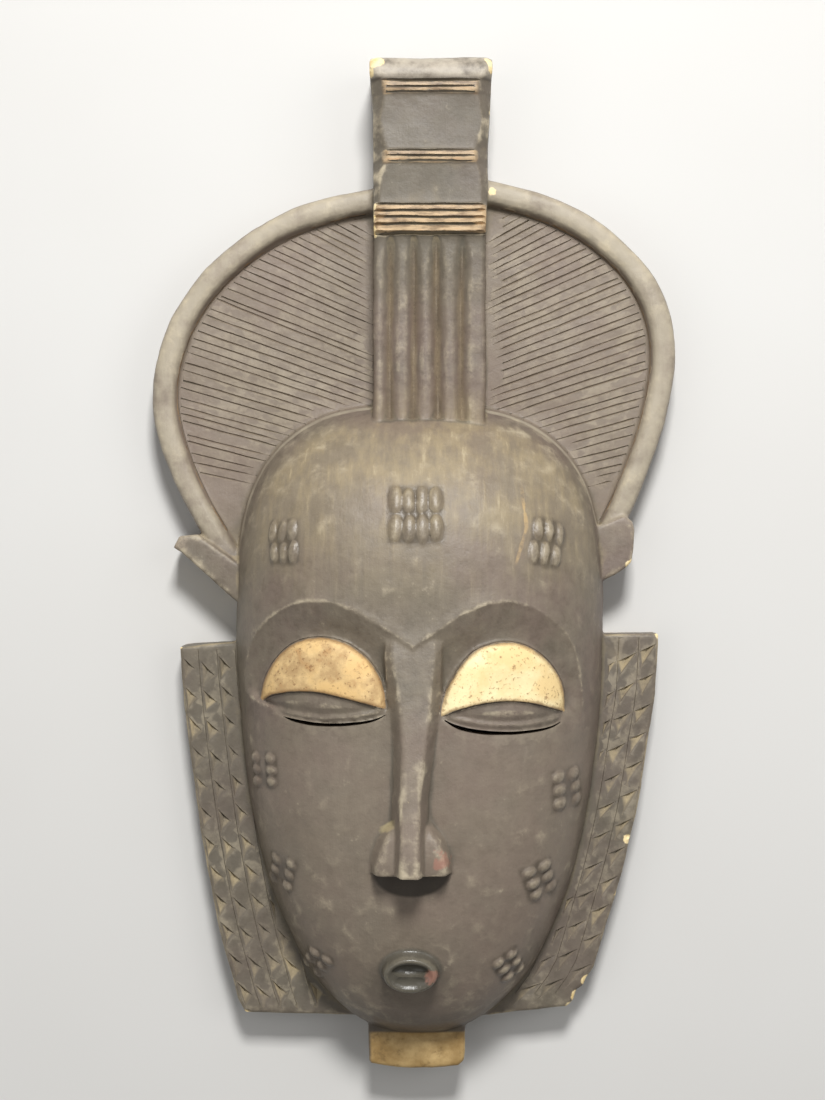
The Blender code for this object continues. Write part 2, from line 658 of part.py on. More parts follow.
def make_mouth(forms, cutters):
    """The mouth: a round cup whose cutter leaves an upper and a lower lip standing in it."""
    seat = on_face(*face_point(FEATURE_ACROSS, MOUTH_ALONG))
    mouth = bmesh.new()
    height = MOUTH_RISE + WALL / 2
    bmesh.ops.create_cone(mouth, cap_ends=True, segments=20, radius1=MOUTH_FOOT_SHARE,
                          radius2=MOUTH_TOP_SHARE, depth=height,
                          matrix=seat @ Matrix.Translation((0.0, 0.0, MOUTH_RISE - height / 2))
                          @ Matrix.Diagonal((MOUTH_HALF_WIDTH, MOUTH_HALF_HEIGHT, 1.0, 1.0)))
    place(mouth, "mouth", forms)

    inner_width = MOUTH_HALF_WIDTH - MOUTH_RIM
    inner_height = MOUTH_HALF_HEIGHT - MOUTH_RIM_ABOVE
    cup_top = MOUTH_RISE + CUP_UP
    cup = ball(Matrix(), (inner_width, inner_height, CUP_DEPTH), 24, 12)
    for vert in cup.verts:
        if vert.co.z < 0:
            for side in (1, -1):
                share = math.hypot(vert.co.x / inner_width,
                                   (vert.co.y - side * LIP_APART) / LIP_HALF_HEIGHT)
                lip_top = LIP_UP + LIP_BULGE * bow(share, 2.0)
                vert.co.z = max(vert.co.z, lip_top - cup_top)
    bmesh.ops.transform(cup, matrix=seat @ Matrix.Translation((0.0, 0.0, cup_top)),
                        verts=cup.verts)
    place(cup, "cup", cutters)


def make_scars(forms):
    """The groups of small raised ovals on forehead, temples and cheeks."""
    for share, columns, half_length, half_width, turn in SCARS:
        x, y = face_point(*share)
        angle = math.radians(turn)
        for column in range(columns):
            for row in range(SCAR_ROWS):
                across = (2 * column - (columns - 1)) * half_width * SCAR_PITCH
                along = (2 * row - (SCAR_ROWS - 1)) * half_length * SCAR_PITCH
                scar_x = x + across * math.cos(angle) - along * math.sin(angle)
                scar_y = y + across * math.sin(angle) + along * math.cos(angle)
                seat = on_face(scar_x, scar_y, -SCAR_SINK) @ Matrix.Rotation(angle, 4, "Z")
                size = (half_width, half_length, SCAR_RISE + SCAR_SINK)
                place(ball(seat, size, 8, 4), "scar", forms)


clear_scene()
mask_parts = new_collection("carved_mask")
sockets = new_collection("sockets")
forms = new_collection("forms")
cutters = new_collection("cutters")

mask = place(egg(FACE_AROUND, FACE_ALONG), "mask", mask_parts, is_guide=False)
mask.data.materials.append(painted_wood())
make_crest(forms)
make_column(forms)
make_wings(forms)
make_ears_and_tab(forms)
make_eyes(forms, sockets, cutters)
make_nose(forms)
make_mouth(forms, cutters)
make_scars(forms)
place(egg(HOLLOW_AROUND, HOLLOW_ALONG, WALL), "hollow", cutters)
place(block((-CREST_WIDTH, -MASK_LENGTH, -FACE_DEPTH), (CREST_WIDTH, MASK_LENGTH, 0.0)),
      "ground", cutters)

boolean(mask, "DIFFERENCE", sockets)
boolean(mask, "UNION", forms)
weld(mask)
boolean(mask, "DIFFERENCE", cutters)
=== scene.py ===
import math

import bmesh
import bpy
import numpy as np
from mathutils import Matrix, Vector, noise
from mathutils.bvhtree import BVHTree


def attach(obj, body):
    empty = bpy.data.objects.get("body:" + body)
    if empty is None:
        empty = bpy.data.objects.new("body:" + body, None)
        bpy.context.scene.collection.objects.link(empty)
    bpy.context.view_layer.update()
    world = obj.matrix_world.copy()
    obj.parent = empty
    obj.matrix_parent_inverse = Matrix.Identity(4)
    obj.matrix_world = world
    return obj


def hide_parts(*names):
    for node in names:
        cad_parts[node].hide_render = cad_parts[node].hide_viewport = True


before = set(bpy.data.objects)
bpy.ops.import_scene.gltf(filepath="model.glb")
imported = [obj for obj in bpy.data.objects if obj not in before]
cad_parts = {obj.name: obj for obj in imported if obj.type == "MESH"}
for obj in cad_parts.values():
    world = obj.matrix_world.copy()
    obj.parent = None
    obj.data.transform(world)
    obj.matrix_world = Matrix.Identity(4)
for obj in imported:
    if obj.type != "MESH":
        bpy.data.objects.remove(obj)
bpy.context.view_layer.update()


# Camera: it looks straight down on the mask, which lies on its back with its crest away.
camera_data = bpy.data.cameras.new("camera")
camera_data.sensor_fit = "VERTICAL"
camera_data.sensor_height = 24.0
camera_data.lens = 42.94


def placed(name, data):
    """A new object in the scene, at the origin."""
    thing = bpy.data.objects.new(name, data)
    bpy.context.scene.collection.objects.link(thing)
    return thing


camera = placed("camera", camera_data)
camera.location = (-0.0006, 0.0075, 0.950)
bpy.context.scene.camera = camera


# Face: an egg of light wood with deep eye pockets under arched brows, and bulging lids.
# It is carved from the same block as the rest. Outlines are in millimetres, seen from above.
FACE_X = 0.0029
FACE_MID_Y = -0.016
FACE_HALF_WIDTH = 0.0875
FACE_DEPTH = 0.078
FOREHEAD_RISE = 0.0946
JAW_LENGTH = 0.2055
FACE_COLUMNS = 300
FACE_ROWS = 520
MIDDLE_ROW = 0.37

EYES = {
    "left": {
        "side": -1,
        "middle": (-41.0, -56.0),
        "brow": [(-65.3, -63.7), (-72.3, -61.7), (-77.1, -58.2), (-78.3, -54.0), (-77.2, -44.2),
                 (-74.2, -34.7), (-70.6, -28.6), (-66.5, -24.2), (-61.9, -20.6), (-56.9, -17.9),
                 (-51.0, -16.0), (-44.3, -15.3), (-38.7, -15.6), (-33.1, -16.9), (-26.3, -19.8),
                 (-19.7, -23.4), (-10.9, -28.7), (-5.7, -32.2), (-0.5, -35.8)],
        "lid": [(-70.4, -60.4), (-69.0, -53.6), (-66.6, -47.9), (-62.8, -42.1), (-58.2, -37.4),
                (-53.8, -34.4), (-48.9, -32.6), (-43.9, -31.8), (-38.7, -31.9), (-33.6, -32.9),
                (-28.6, -34.9), (-23.9, -38.1), (-19.8, -42.0), (-16.8, -46.2), (-14.3, -51.0),
                (-12.8, -56.4), (-12.0, -63.4)],
        "upper": [(-69.2, -61.4), (-66.3, -59.4), (-63.4, -57.9), (-55.6, -56.2), (-46.1, -55.8),
                  (-39.5, -56.6), (-33.6, -57.8), (-27.4, -59.3), (-21.2, -60.8), (-12.4, -63.4)],
        "lower": [(-69.2, -61.6), (-63.3, -63.9), (-56.9, -65.4), (-49.6, -66.6), (-42.0, -67.2),
                  (-36.0, -67.1), (-29.5, -66.5), (-20.4, -64.9), (-12.4, -63.5)],
        "slit_upper": [(-58.6, -67.6), (-50.6, -68.9), (-41.9, -69.8), (-35.5, -69.8),
                       (-29.5, -69.4), (-23.0, -68.7), (-17.2, -67.5), (-12.6, -65.6)],
        "slit_lower": [(-58.6, -67.9), (-54.2, -70.0), (-46.3, -71.6), (-37.8, -71.9),
                       (-29.5, -71.4), (-21.2, -70.1), (-16.4, -68.4), (-12.6, -66.0)],
    },
    "right": {
        "side": 1,
        "middle": (40.0, -59.0),
        "brow": [(75.4, -71.6), (77.0, -64.8), (77.0, -57.4), (76.2, -50.5), (74.8, -43.5),
                 (72.2, -35.9), (68.7, -30.0), (64.0, -25.2), (59.2, -21.6), (53.5, -18.5),
                 (47.8, -16.5), (41.7, -15.6), (35.4, -16.0), (29.8, -17.4), (24.3, -19.6),
                 (18.9, -22.6), (13.3, -26.6), (5.8, -31.5), (-0.5, -35.8)],
        "lid": [(68.4, -65.6), (68.6, -60.0), (68.0, -55.6), (66.4, -51.3), (64.0, -47.1),
                (60.8, -43.0), (57.0, -39.5), (53.1, -36.9), (49.0, -35.0), (44.6, -33.9),
                (39.9, -33.6), (34.7, -34.4), (29.9, -36.1), (26.3, -38.2), (23.3, -41.0),
                (20.3, -44.8), (17.8, -48.8), (15.2, -53.3), (13.3, -58.0), (12.2, -62.0),
                (11.8, -66.4)],
        "upper": [(68.0, -66.0), (62.8, -63.8), (53.6, -61.2), (48.2, -60.2), (42.3, -59.8),
                  (34.2, -60.2), (26.9, -61.5), (19.1, -63.6), (12.2, -66.6)],
        "lower": [(68.0, -66.3), (65.3, -67.4), (57.0, -69.1), (49.2, -70.1), (42.4, -70.3),
                  (35.7, -70.0), (28.9, -69.1), (22.5, -67.9), (16.9, -66.9), (12.2, -66.7)],
        "slit_upper": [(66.4, -70.1), (62.7, -71.6), (58.4, -72.5), (51.5, -73.2), (44.7, -73.5),
                       (37.9, -73.3), (31.4, -72.7), (24.5, -71.6), (18.2, -69.9), (13.6, -67.8)],
        "slit_lower": [(66.4, -70.5), (63.0, -72.6), (58.5, -74.0), (53.8, -74.8), (47.9, -75.4),
                       (42.5, -75.6), (31.4, -75.2), (22.6, -73.5), (17.8, -71.5), (13.6, -68.4)],
    },
}
BROW_LIP = 1.1
COVE_DEPTH = 4.6
LID_EDGE, LID_TOP = -2.8, 2.8
LID_ROUNDING = 13.0
EYE_RECESS = 1.7
SLIT_CLOSE = 0.55


def bow(share, exponent):
    """Height of a superellipse of radius 1 at a share of its half-width."""
    return np.maximum(0.0, 1.0 - np.minimum(1.0, np.abs(share)) ** exponent) ** (1.0 / exponent)


def face_section(y, wall=0.0):
    """Half-width and height of the face's section at y, less a wall."""
    along = np.asarray(y, float) - FACE_MID_Y
    upper = along > 0
    share = along / (np.where(upper, FOREHEAD_RISE, JAW_LENGTH) - wall)
    half = (FACE_HALF_WIDTH - wall) * np.where(upper, bow(share, 2.75), bow(share, 2.3))
    return half, (FACE_DEPTH - wall) * np.where(upper, bow(share, 2.2), bow(share, 3.0))


def face_height(x, y):
    """Height of the plain face at a point, and 0 outside it."""
    half, height = face_section(y)
    return height * bow((x - FACE_X) / np.maximum(half, 1e-6), 2.5)


def step_up(value, low, high):
    """A smooth step from 0 at low to 1 at high."""
    share = np.clip((value - low) / (high - low), 0.0, 1.0)
    return share * share * (3.0 - 2.0 * share)


def curved(points, steps=4):
    """More points on a smooth open line through the given ones."""
    line = np.array([points[0], *points, points[-1]], float)
    found = []
    for a, b, c, d in zip(line[:-3], line[1:-2], line[2:-1], line[3:]):
        for number in range(steps):
            t = number / steps
            found.append(0.5 * (2 * b + (c - a) * t + (2 * a - 5 * b + 4 * c - d) * t * t
                                + (3 * b - a - 3 * c + d) * t ** 3))
    return [tuple(point) for point in found] + [tuple(points[-1])]


def distance_to(x, y, line):
    """Distance from points to an open line."""
    near = np.full(x.shape, 1e9)
    for (ax, ay), (bx, by) in zip(line[:-1], line[1:]):
        dx, dy = bx - ax, by - ay
        share = np.clip(((x - ax) * dx + (y - ay) * dy) / max(dx * dx + dy * dy, 1e-12), 0.0, 1.0)
        near = np.minimum(near, np.hypot(x - ax - share * dx, y - ay - share * dy))
    return near


def depth_inside(x, y, outline):
    """Distance to a closed outline, above 0 inside it."""
    closed = list(outline) + [outline[0]]
    inside = np.zeros(x.shape, bool)
    for (ax, ay), (bx, by) in zip(closed[:-1], closed[1:]):
        if ay != by:
            inside ^= ((ay > y) != (by > y)) & (x < (bx - ax) * (y - ay) / (by - ay) + ax)
    near = distance_to(x, y, closed)
    return np.where(inside, near, -near)


def eye_lines(eye):
    """The eye's smooth lines, and the closed outlines of its pocket, body and closed eye."""
    lines = {name: curved(eye[name]) for name in
             ("brow", "lid", "upper", "lower", "slit_upper", "slit_lower")}
    side = eye["side"]
    nose_side = [(side * 1.0, -46.0), (side * 5.0, -58.0)]
    lines["pocket"] = lines["brow"] + nose_side + lines["slit_upper"][::-1]
    lines["slit_lower"] = [(x, y + SLIT_CLOSE * math.sin(math.pi * number / len(lines["slit_lower"])))
                           for number, (x, y) in enumerate(lines["slit_lower"])]
    lines["body"] = lines["lid"] + lines["slit_upper"][::-1]
    lines["closed_eye"] = lines["upper"] + lines["lower"][::-1]
    lines["bare_lid"] = lines["lid"] + lines["upper"][::-1]
    return lines


EYE_LINES = {name: eye_lines(eye) for name, eye in EYES.items()}


def face_relief(x, y):
    """Height of brows, pockets, lids and closed eyes over the plain face, in millimetres."""
    relief = np.zeros(x.shape)
    for name, eye in EYES.items():
        lines = EYE_LINES[name]
        near = (np.abs(x - eye["middle"][0]) < 48.0) & (np.abs(y - eye["middle"][1]) < 52.0)
        px, py = x[near], y[near]
        pocket = depth_inside(px, py, lines["pocket"])
        body = depth_inside(px, py, lines["body"])
        brow = distance_to(px, py, lines["brow"])
        closed = depth_inside(px, py, lines["closed_eye"])
        inward = np.clip(-eye["side"] * (px - eye["middle"][0]) / 30.0, -1.0, 1.0)
        across = np.clip(pocket / np.maximum(pocket - np.minimum(body, 0.0), 0.01), 0.0, 1.0)
        lip = BROW_LIP * np.exp(-brow / 3.2) * step_up(py, -70.0, -56.0)
        cove = -(COVE_DEPTH + 1.6 * inward) * step_up(across, 0.0, 1.05)
        cove *= step_up(py, -70.0, -60.0) * step_up(pocket, 0.0, 3.0)
        height = lip + np.where(pocket > 0, cove - 0.5 * step_up(pocket, 0.0, 1.2), 0.0)
        share = np.clip(body / LID_ROUNDING, 0.0, 1.0)
        dome = LID_EDGE + (LID_TOP - LID_EDGE) * np.sqrt(1.0 - (1.0 - share) ** 2)
        dome -= EYE_RECESS * step_up(closed, -0.1, 0.8) - 0.7 * step_up(closed, 0.8, 5.0)
        height = np.where(body > 0, dome, height)
        relief[near] += height
    return relief


def points_of(mesh):
    """The mesh's points as an array."""
    points = np.empty(len(mesh.vertices) * 3)
    mesh.vertices.foreach_get("co", points)
    return points.reshape(-1, 3)


def move_points(mesh, points):
    """Give the mesh's points new places."""
    mesh.vertices.foreach_set("co", np.ascontiguousarray(points, float).ravel())
    mesh.update()


forms = []


def keep(shape, name, collected=forms):
    """Point a closed form's faces outwards and keep it as a mesh."""
    bmesh.ops.recalc_face_normals(shape, faces=shape.faces)
    if shape.calc_volume(signed=True) < 0:
        bmesh.ops.reverse_faces(shape, faces=shape.faces)
    mesh = bpy.data.meshes.new(name)
    shape.to_mesh(mesh)
    shape.free()
    collected.append(mesh)
    return mesh


face = bmesh.new()
bmesh.ops.create_grid(face, x_segments=FACE_COLUMNS, y_segments=FACE_ROWS, size=1.0)
outer = [edge for edge in face.edges if edge.is_boundary]
skirt = bmesh.ops.extrude_edge_only(face, edges=outer)["geom"]
bmesh.ops.translate(face, verts=[item for item in skirt if isinstance(item, bmesh.types.BMVert)],
                    vec=(0.0, 0.0, -1.0))
bmesh.ops.edgeloop_fill(face, edges=[edge for edge in face.edges if edge.is_boundary])
face_mesh = keep(face, "face")
grid = points_of(face_mesh)
grid /= np.abs(grid[:, 0]).max()
row = (grid[:, 1] - MIDDLE_ROW) / np.where(grid[:, 1] > MIDDLE_ROW, 1 - MIDDLE_ROW, 1 + MIDDLE_ROW)
row = (row + np.sin(row * math.pi / 2)) / 2
y = FACE_MID_Y + row * np.where(row > 0, FOREHEAD_RISE, JAW_LENGTH)
x = FACE_X + (grid[:, 0] + np.sin(grid[:, 0] * math.pi / 2)) / 2 * face_section(y)[0]
height = face_height(x, y)
step = 0.0015
slope_x = (face_height(x + step, y) - face_height(x - step, y)) / (2 * step)
slope_y = (face_height(x, y + step) - face_height(x, y - step)) / (2 * step)
tilt = np.minimum(np.sqrt(1.0 + slope_x ** 2 + slope_y ** 2), 1.7)
height = height + 0.001 * face_relief(x * 1000.0, y * 1000.0) * tilt
move_points(face_mesh, np.column_stack((x, y, np.where(grid[:, 2] < -0.5, -0.012, height))))


# Nose: a straight ridge with a flat front that widens into two flat nostrils, and a small
# round mouth. Both are left standing from the block and cut with straight chisels.
NOSE = [  # y, middle x, half-width in front, half-width at the back, rise over the face
    (-28.0, 0.0, 9.5, 11.5, -1.5), (-34.0, -0.2, 10.8, 12.4, 0.5), (-40.0, -0.2, 10.6, 12.6, 1.8),
    (-52.0, 0.2, 8.8, 12.0, 3.8), (-67.0, 0.4, 7.0, 11.2, 6.4), (-80.0, -0.1, 5.6, 9.4, 8.8),
    (-92.0, -0.9, 4.9, 8.8, 10.8), (-103.0, -1.6, 4.5, 8.4, 12.8), (-118.0, -1.9, 4.1, 8.6, 16.4),
    (-130.0, -2.0, 4.2, 9.2, 19.4), (-136.4, -2.0, 4.3, 9.6, 20.4),
]
NOSTRILS = [
    (-112.0, -1.4, 6.0, 8.6, 3.0), (-116.5, -1.4, 9.2, 12.0, 6.4), (-121.0, -1.2, 12.0, 15.4, 8.4),
    (-126.5, -1.1, 14.0, 17.6, 9.6), (-132.0, -1.1, 15.4, 18.6, 10.2), (-136.6, -1.1, 15.8, 18.8, 10.2),
]
MOUTH = (-1.6, -182.4)
MOUTH_RINGS = [(14.4, 10.9, -7.0), (13.1, 9.8, 0.5), (12.5, 9.1, 4.4), (12.0, 8.6, 6.2),
               (11.2, 7.9, 7.2), (10.3, 7.1, 7.4), (9.3, 6.2, 7.0), (8.3, 5.4, 6.1)]


def loft(rings):
    """A closed form drawn through rings of points, all with as many points."""
    shape = bmesh.new()
    loops = []
    for ring in rings:
        verts = bmesh.ops.create_circle(shape, segments=len(ring), radius=1.0)["verts"]
        edges = list({edge for vert in verts for edge in vert.link_edges})
        for vert, place in zip(verts, ring):
            vert.co = place
        loops.append(edges)
    for near, far in zip(loops[:-1], loops[1:]):
        bmesh.ops.bridge_loops(shape, edges=near + far)
    bmesh.ops.holes_fill(shape, edges=shape.edges, sides=0)
    return shape


def ridge(stations, corner):
    """A flat-fronted ridge on the face, drawn through its stations."""
    rings = []
    for y, middle, front, back, rise in stations:
        x, y = middle * 0.001, y * 0.001
        seat = float(face_height(x, y))
        low = float(min(face_height(x - back * 0.001, y), face_height(x + back * 0.001, y)))
        top = seat + rise * 0.001
        half = [(back + 1.5, low - 0.008), (back, low - 0.0005),
                (front + 0.15 * corner, top - 0.0013 * corner),
                (front - 0.5 * corner, top - 0.0004 * corner), (front - 1.6 * corner, top)]
        rings.append([(x + across * 0.001, y, z) for across, z in half]
                     + [(x - across * 0.001, y, z) for across, z in half[::-1]])
    return loft(rings)


keep(ridge(NOSE, 1.0), "nose")
keep(ridge(NOSTRILS, 1.3), "nostrils")

mouth_x, mouth_y = MOUTH[0] * 0.001, MOUTH[1] * 0.001
mouth_slope = float(face_height(mouth_x, mouth_y + 0.003) - face_height(mouth_x, mouth_y - 0.003)) / 0.006
mouth_seat = (Matrix.Translation((mouth_x, mouth_y, float(face_height(mouth_x, mouth_y))))
              @ Matrix.Rotation(math.atan(mouth_slope) * 0.6, 4, "X"))
rings = [[mouth_seat @ (Vector((wide * math.cos(t), high * math.sin(t), rise)) * 0.001)
          for t in (2 * math.pi * number / 40 for number in range(40))]
         for wide, high, rise in MOUTH_RINGS]
keep(loft(rings), "mouth")


# Scars: small glossy ovals in tight groups on forehead, temples and cheeks, left standing
# from the block. Middle, columns, rows, half-length, half-width and turn of each group.
SCARS = [
    ((0.9, 23.4), 4, 2, 6.4, 3.0, 0.0), ((-59.0, 11.0), 3, 2, 5.0, 2.3, 4.0),
    ((60.0, 10.8), 3, 2, 5.4, 2.6, -12.0), ((-68.9, -93.0), 3, 2, 3.6, 2.7, 94.0),
    ((-60.8, -140.5), 3, 2, 3.6, 2.7, 80.0), ((-45.0, -183.0), 3, 2, 3.4, 2.4, 62.0),
    ((70.0, -101.0), 3, 2, 4.1, 3.1, 96.0), ((57.5, -142.5), 3, 2, 3.8, 2.8, 108.0),
    ((44.0, -183.0), 3, 2, 3.4, 2.4, 118.0),
]
SCAR_RISE = 1.7


def on_face(x, y):
    """Placement on the face, in metres, with +Z along its outward normal."""
    slope_x = float(face_height(x + 0.002, y) - face_height(x - 0.002, y)) / 0.004
    slope_y = float(face_height(x, y + 0.002) - face_height(x, y - 0.002)) / 0.004
    normal = Vector((-slope_x, -slope_y, 1.0)).normalized()
    across = Vector((0.0, 1.0, 0.0)).cross(normal).normalized()
    turn = Matrix((across, normal.cross(across), normal)).transposed().to_4x4()
    return Matrix.Translation((x, y, float(face_height(x, y)))) @ turn


chance = np.random.default_rng(7)
for (x, y), columns, rows, half_length, half_width, turn in SCARS:
    angle = math.radians(turn)
    scars = bmesh.new()
    for column in range(columns):
        for row in range(rows):
            across = (column - (columns - 1) / 2) * half_width * 1.98 + chance.normal(0, 0.15)
            along = (row - (rows - 1) / 2) * half_length * 1.94 + chance.normal(0, 0.25)
            scar_x = x + across * math.cos(angle) - along * math.sin(angle)
            scar_y = y + across * math.sin(angle) + along * math.cos(angle)
            size = [half_width * chance.uniform(0.9, 1.06), half_length * chance.uniform(0.9, 1.08),
                    SCAR_RISE * chance.uniform(0.8, 1.15)]
            place = (on_face(scar_x * 0.001, scar_y * 0.001)
                     @ Matrix.Rotation(angle + chance.normal(0, 0.08), 4, "Z")
                     @ Matrix.Diagonal((*[0.001 * length for length in size], 1.0)))
            bmesh.ops.create_uvsphere(scars, u_segments=16, v_segments=10, radius=1.0, matrix=place)
    keep(scars, "scars")


# Crest: a round slab behind the head whose raised rim stands round a sunk field. It is part
# of the same block, cut back with flat and round gouges.
CREST_HALF_WIDTH = 0.1238
CREST_MID = {-1: 0.079, 1: 0.098}
CREST_UPPER = {-1: (0.101, 2.0), 1: (0.087, 2.15)}
CREST_LOWER = {-1: (0.140, 1.6), 1: (0.170, 1.6)}
CREST_FOOT = -0.010
CREST_RINGS = [  # inset and height of each ring of the rim's rounded section
    (1.2, -10.0), (0.6, 2.0), (0.1, 10.0), (0.0, 18.0), (0.4, 21.4), (1.4, 23.6), (2.8, 24.6),
    (5.4, 25.0), (8.0, 24.9), (9.9, 24.1), (11.1, 22.4), (11.9, 20.2), (12.6, 18.5),
]


def crest_edge(side, angle, inset):
    """Point on the crest's edge: 90 degrees is its top, and below 0 is towards the ear."""
    reach, exponent = (CREST_UPPER if angle > 0 else CREST_LOWER)[side]
    turn = math.radians(angle)
    across = abs(math.cos(turn)) ** (2 / exponent)
    along = math.copysign(abs(math.sin(turn)) ** (2 / exponent), turn)
    return side * (CREST_HALF_WIDTH - inset) * across, CREST_MID[side] + (reach - inset) * along


crest_angles = [(side, angle) for side in (1, -1)
                for angle in (np.arange(-88, 90, 1.6) if side == 1 else np.arange(90, -88, -1.6))
                if crest_edge(side, angle, 0.0)[1] > CREST_FOOT]
rings = []
for inset, z in CREST_RINGS:
    ring = []
    for side, angle in crest_angles:
        far = Vector((side * 3.0, angle * 0.03, 0.0))
        wave = noise.noise(far) * (0.5 + 0.06 * inset) + 0.5 * noise.noise(far * 3.1 + Vector((9, 2, 4)))
        ring.append((*crest_edge(side, angle, (inset + wave) * 0.001), z * 0.001))
    rings.append(ring)
keep(loft(rings), "crest")


# Column: a tall post up the middle of the crest with a cap, two pairs of rings, four bands
# and a fluted foot. Its edges are chamfered where the rings are. It is one with the block.
COLUMN_EDGES = [  # y, left edge and right edge
    (240.0, -20.3, 36.2), (230.5, -20.3, 36.2), (209.4, -19.2, 35.0), (183.2, -18.6, 34.4),
    (154.2, -18.7, 33.4), (113.3, -18.8, 33.2), (50.0, -18.8, 33.2),
]
COLUMN_FRONT = [  # y, height and width of the chamfer at each station
    (235.9, 36.5, 3.4), (235.5, 39.0, 3.2), (234.2, 41.6, 2.8), (232.0, 43.7, 2.4), (229.4, 44.8, 2.2),
    (226.4, 45.1, 3.0), (224.9, 44.2, 4.2), (224.2, 43.0, 4.8), (223.7, 44.6, 5.6),
    (221.0, 45.0, 6.2), (218.6, 44.8, 6.2), (218.0, 43.7, 5.8),
    (212.0, 43.4, 4.4), (205.0, 43.3, 3.0), (198.0, 43.5, 4.0), (192.2, 43.7, 5.8), (191.6, 44.8, 6.2),
    (189.2, 45.0, 6.2), (186.8, 44.8, 6.0), (186.0, 43.7, 5.4), (180.0, 43.5, 3.2), (172.0, 43.5, 2.6),
    (167.3, 43.7, 2.4), (166.8, 44.8, 2.0), (160.0, 45.0, 1.6), (153.3, 44.8, 1.6), (152.6, 42.8, 1.6),
    (149.0, 42.2, 1.5), (120.0, 41.7, 1.5), (90.0, 41.4, 1.5), (58.0, 41.2, 1.5),
]
edge_y = [entry[0] for entry in COLUMN_EDGES[::-1]]
rings = []
for y, z, chamfer in COLUMN_FRONT:
    left = np.interp(y, edge_y, [entry[1] for entry in COLUMN_EDGES[::-1]])
    right = np.interp(y, edge_y, [entry[2] for entry in COLUMN_EDGES[::-1]])
    left += 0.5 * noise.noise((1.0, y * 0.05, 3.0))
    right += 0.5 * noise.noise((7.0, y * 0.05, 1.0))
    ring = [(left, -9.0), (left, z - chamfer * 1.1 - 1.2), (left + 0.2, z - chamfer * 1.1),
            (left + chamfer, z - 0.25), (left + chamfer + 1.2, z),
            (right - chamfer - 1.2, z), (right - chamfer, z - 0.25), (right - 0.2, z - chamfer * 1.1),
            (right, z - chamfer * 1.1 - 1.2), (right, -9.0)]
    rings.append([(x * 0.001, y * 0.001, height * 0.001) for x, height in ring])
keep(loft(rings), "column")


# Wings, ears and tab: flat slabs left at the sides of the face, two cut-off ears, and a short
# tab under the chin. All are the same block of wood.
OUTLINES = {  # points, bottom, top and rounding
    "left_wing": ([(-10.0, -38.0), (-82.1, -36.1), (-97.2, -36.9), (-110.8, -38.2), (-109.5, -55.8),
                   (-106.6, -82.5), (-104.2, -101.5), (-101.0, -124.3), (-97.9, -141.8),
                   (-94.9, -157.8), (-90.6, -176.5), (-87.0, -189.0), (-82.8, -204.6),
                   (-79.7, -211.0), (-53.8, -211.7), (-27.5, -212.2), (-10.0, -212.0)],
                  -8.0, 20.0, 1.3),
    "right_wing": ([(12.0, -34.0), (88.0, -32.4), (102.2, -32.1), (115.9, -31.9), (114.4, -61.0),
                    (111.4, -78.0), (108.7, -96.5), (106.2, -111.0), (103.4, -124.3),
                    (99.0, -142.8), (95.2, -155.5), (91.2, -169.5), (85.1, -189.7), (81.6, -194.5),
                    (79.8, -198.6), (76.6, -200.4), (75.2, -205.0), (72.4, -208.0), (50.2, -210.8),
                    (31.3, -213.0), (12.0, -212.0)], -8.0, 20.0, 1.3),
    "left_ear": ([(-112.9, 8.6), (-110.3, 14.1), (-101.7, 15.0), (-94.2, 9.8), (-82.4, 1.4),
                  (-70.0, 0.0), (-70.0, -20.0), (-82.4, -17.4), (-108.9, 6.1)], 7.0, 27.5, 1.6),
    "right_ear": ([(99.0, 24.0), (102.8, 20.6), (103.7, 16.9), (103.2, 6.0), (102.2, 1.6),
                   (98.1, -1.9), (88.1, -7.2), (74.0, -12.0), (74.0, 14.0)], 7.0, 27.5, 1.6),
    "tab": ([(-21.0, -205.0), (-21.2, -215.0), (-21.1, -232.6), (-20.2, -233.8), (-15.9, -234.7),
             (-8.0, -235.6), (-0.8, -235.9), (8.0, -235.8), (14.7, -235.5), (21.0, -234.6),
             (23.4, -232.4), (24.1, -228.0), (24.2, -216.5), (24.0, -205.0)], -7.0, 26.0, 1.8),
}


def slab(outline, bottom, top, rounding):
    """A flat outline given thickness, with its upper edge rounded. Sizes in millimetres."""
    shape = bmesh.new()
    verts = bmesh.ops.create_circle(shape, cap_ends=True, segments=len(outline), radius=1.0)["verts"]
    for vert, (x, y) in zip(verts, outline):
        vert.co = (x * 0.001, y * 0.001, bottom * 0.001)
    raised = bmesh.ops.extrude_face_region(shape, geom=shape.faces[:])["geom"]
    upper = [item for item in raised if isinstance(item, bmesh.types.BMVert)]
    bmesh.ops.translate(shape, verts=upper, vec=(0.0, 0.0, (top - bottom) * 0.001))
    bmesh.ops.holes_fill(shape, edges=shape.edges, sides=0)
    edges = [edge for edge in shape.edges if all(vert in upper for vert in edge.verts)]
    bmesh.ops.bevel(shape, geom=edges, offset=rounding * 0.001, segments=3, profile=0.5,
                    affect="EDGES", material=-1)
    return shape


for name, (outline, bottom, top, rounding) in OUTLINES.items():
    keep(slab(outline, bottom, top, rounding), name)


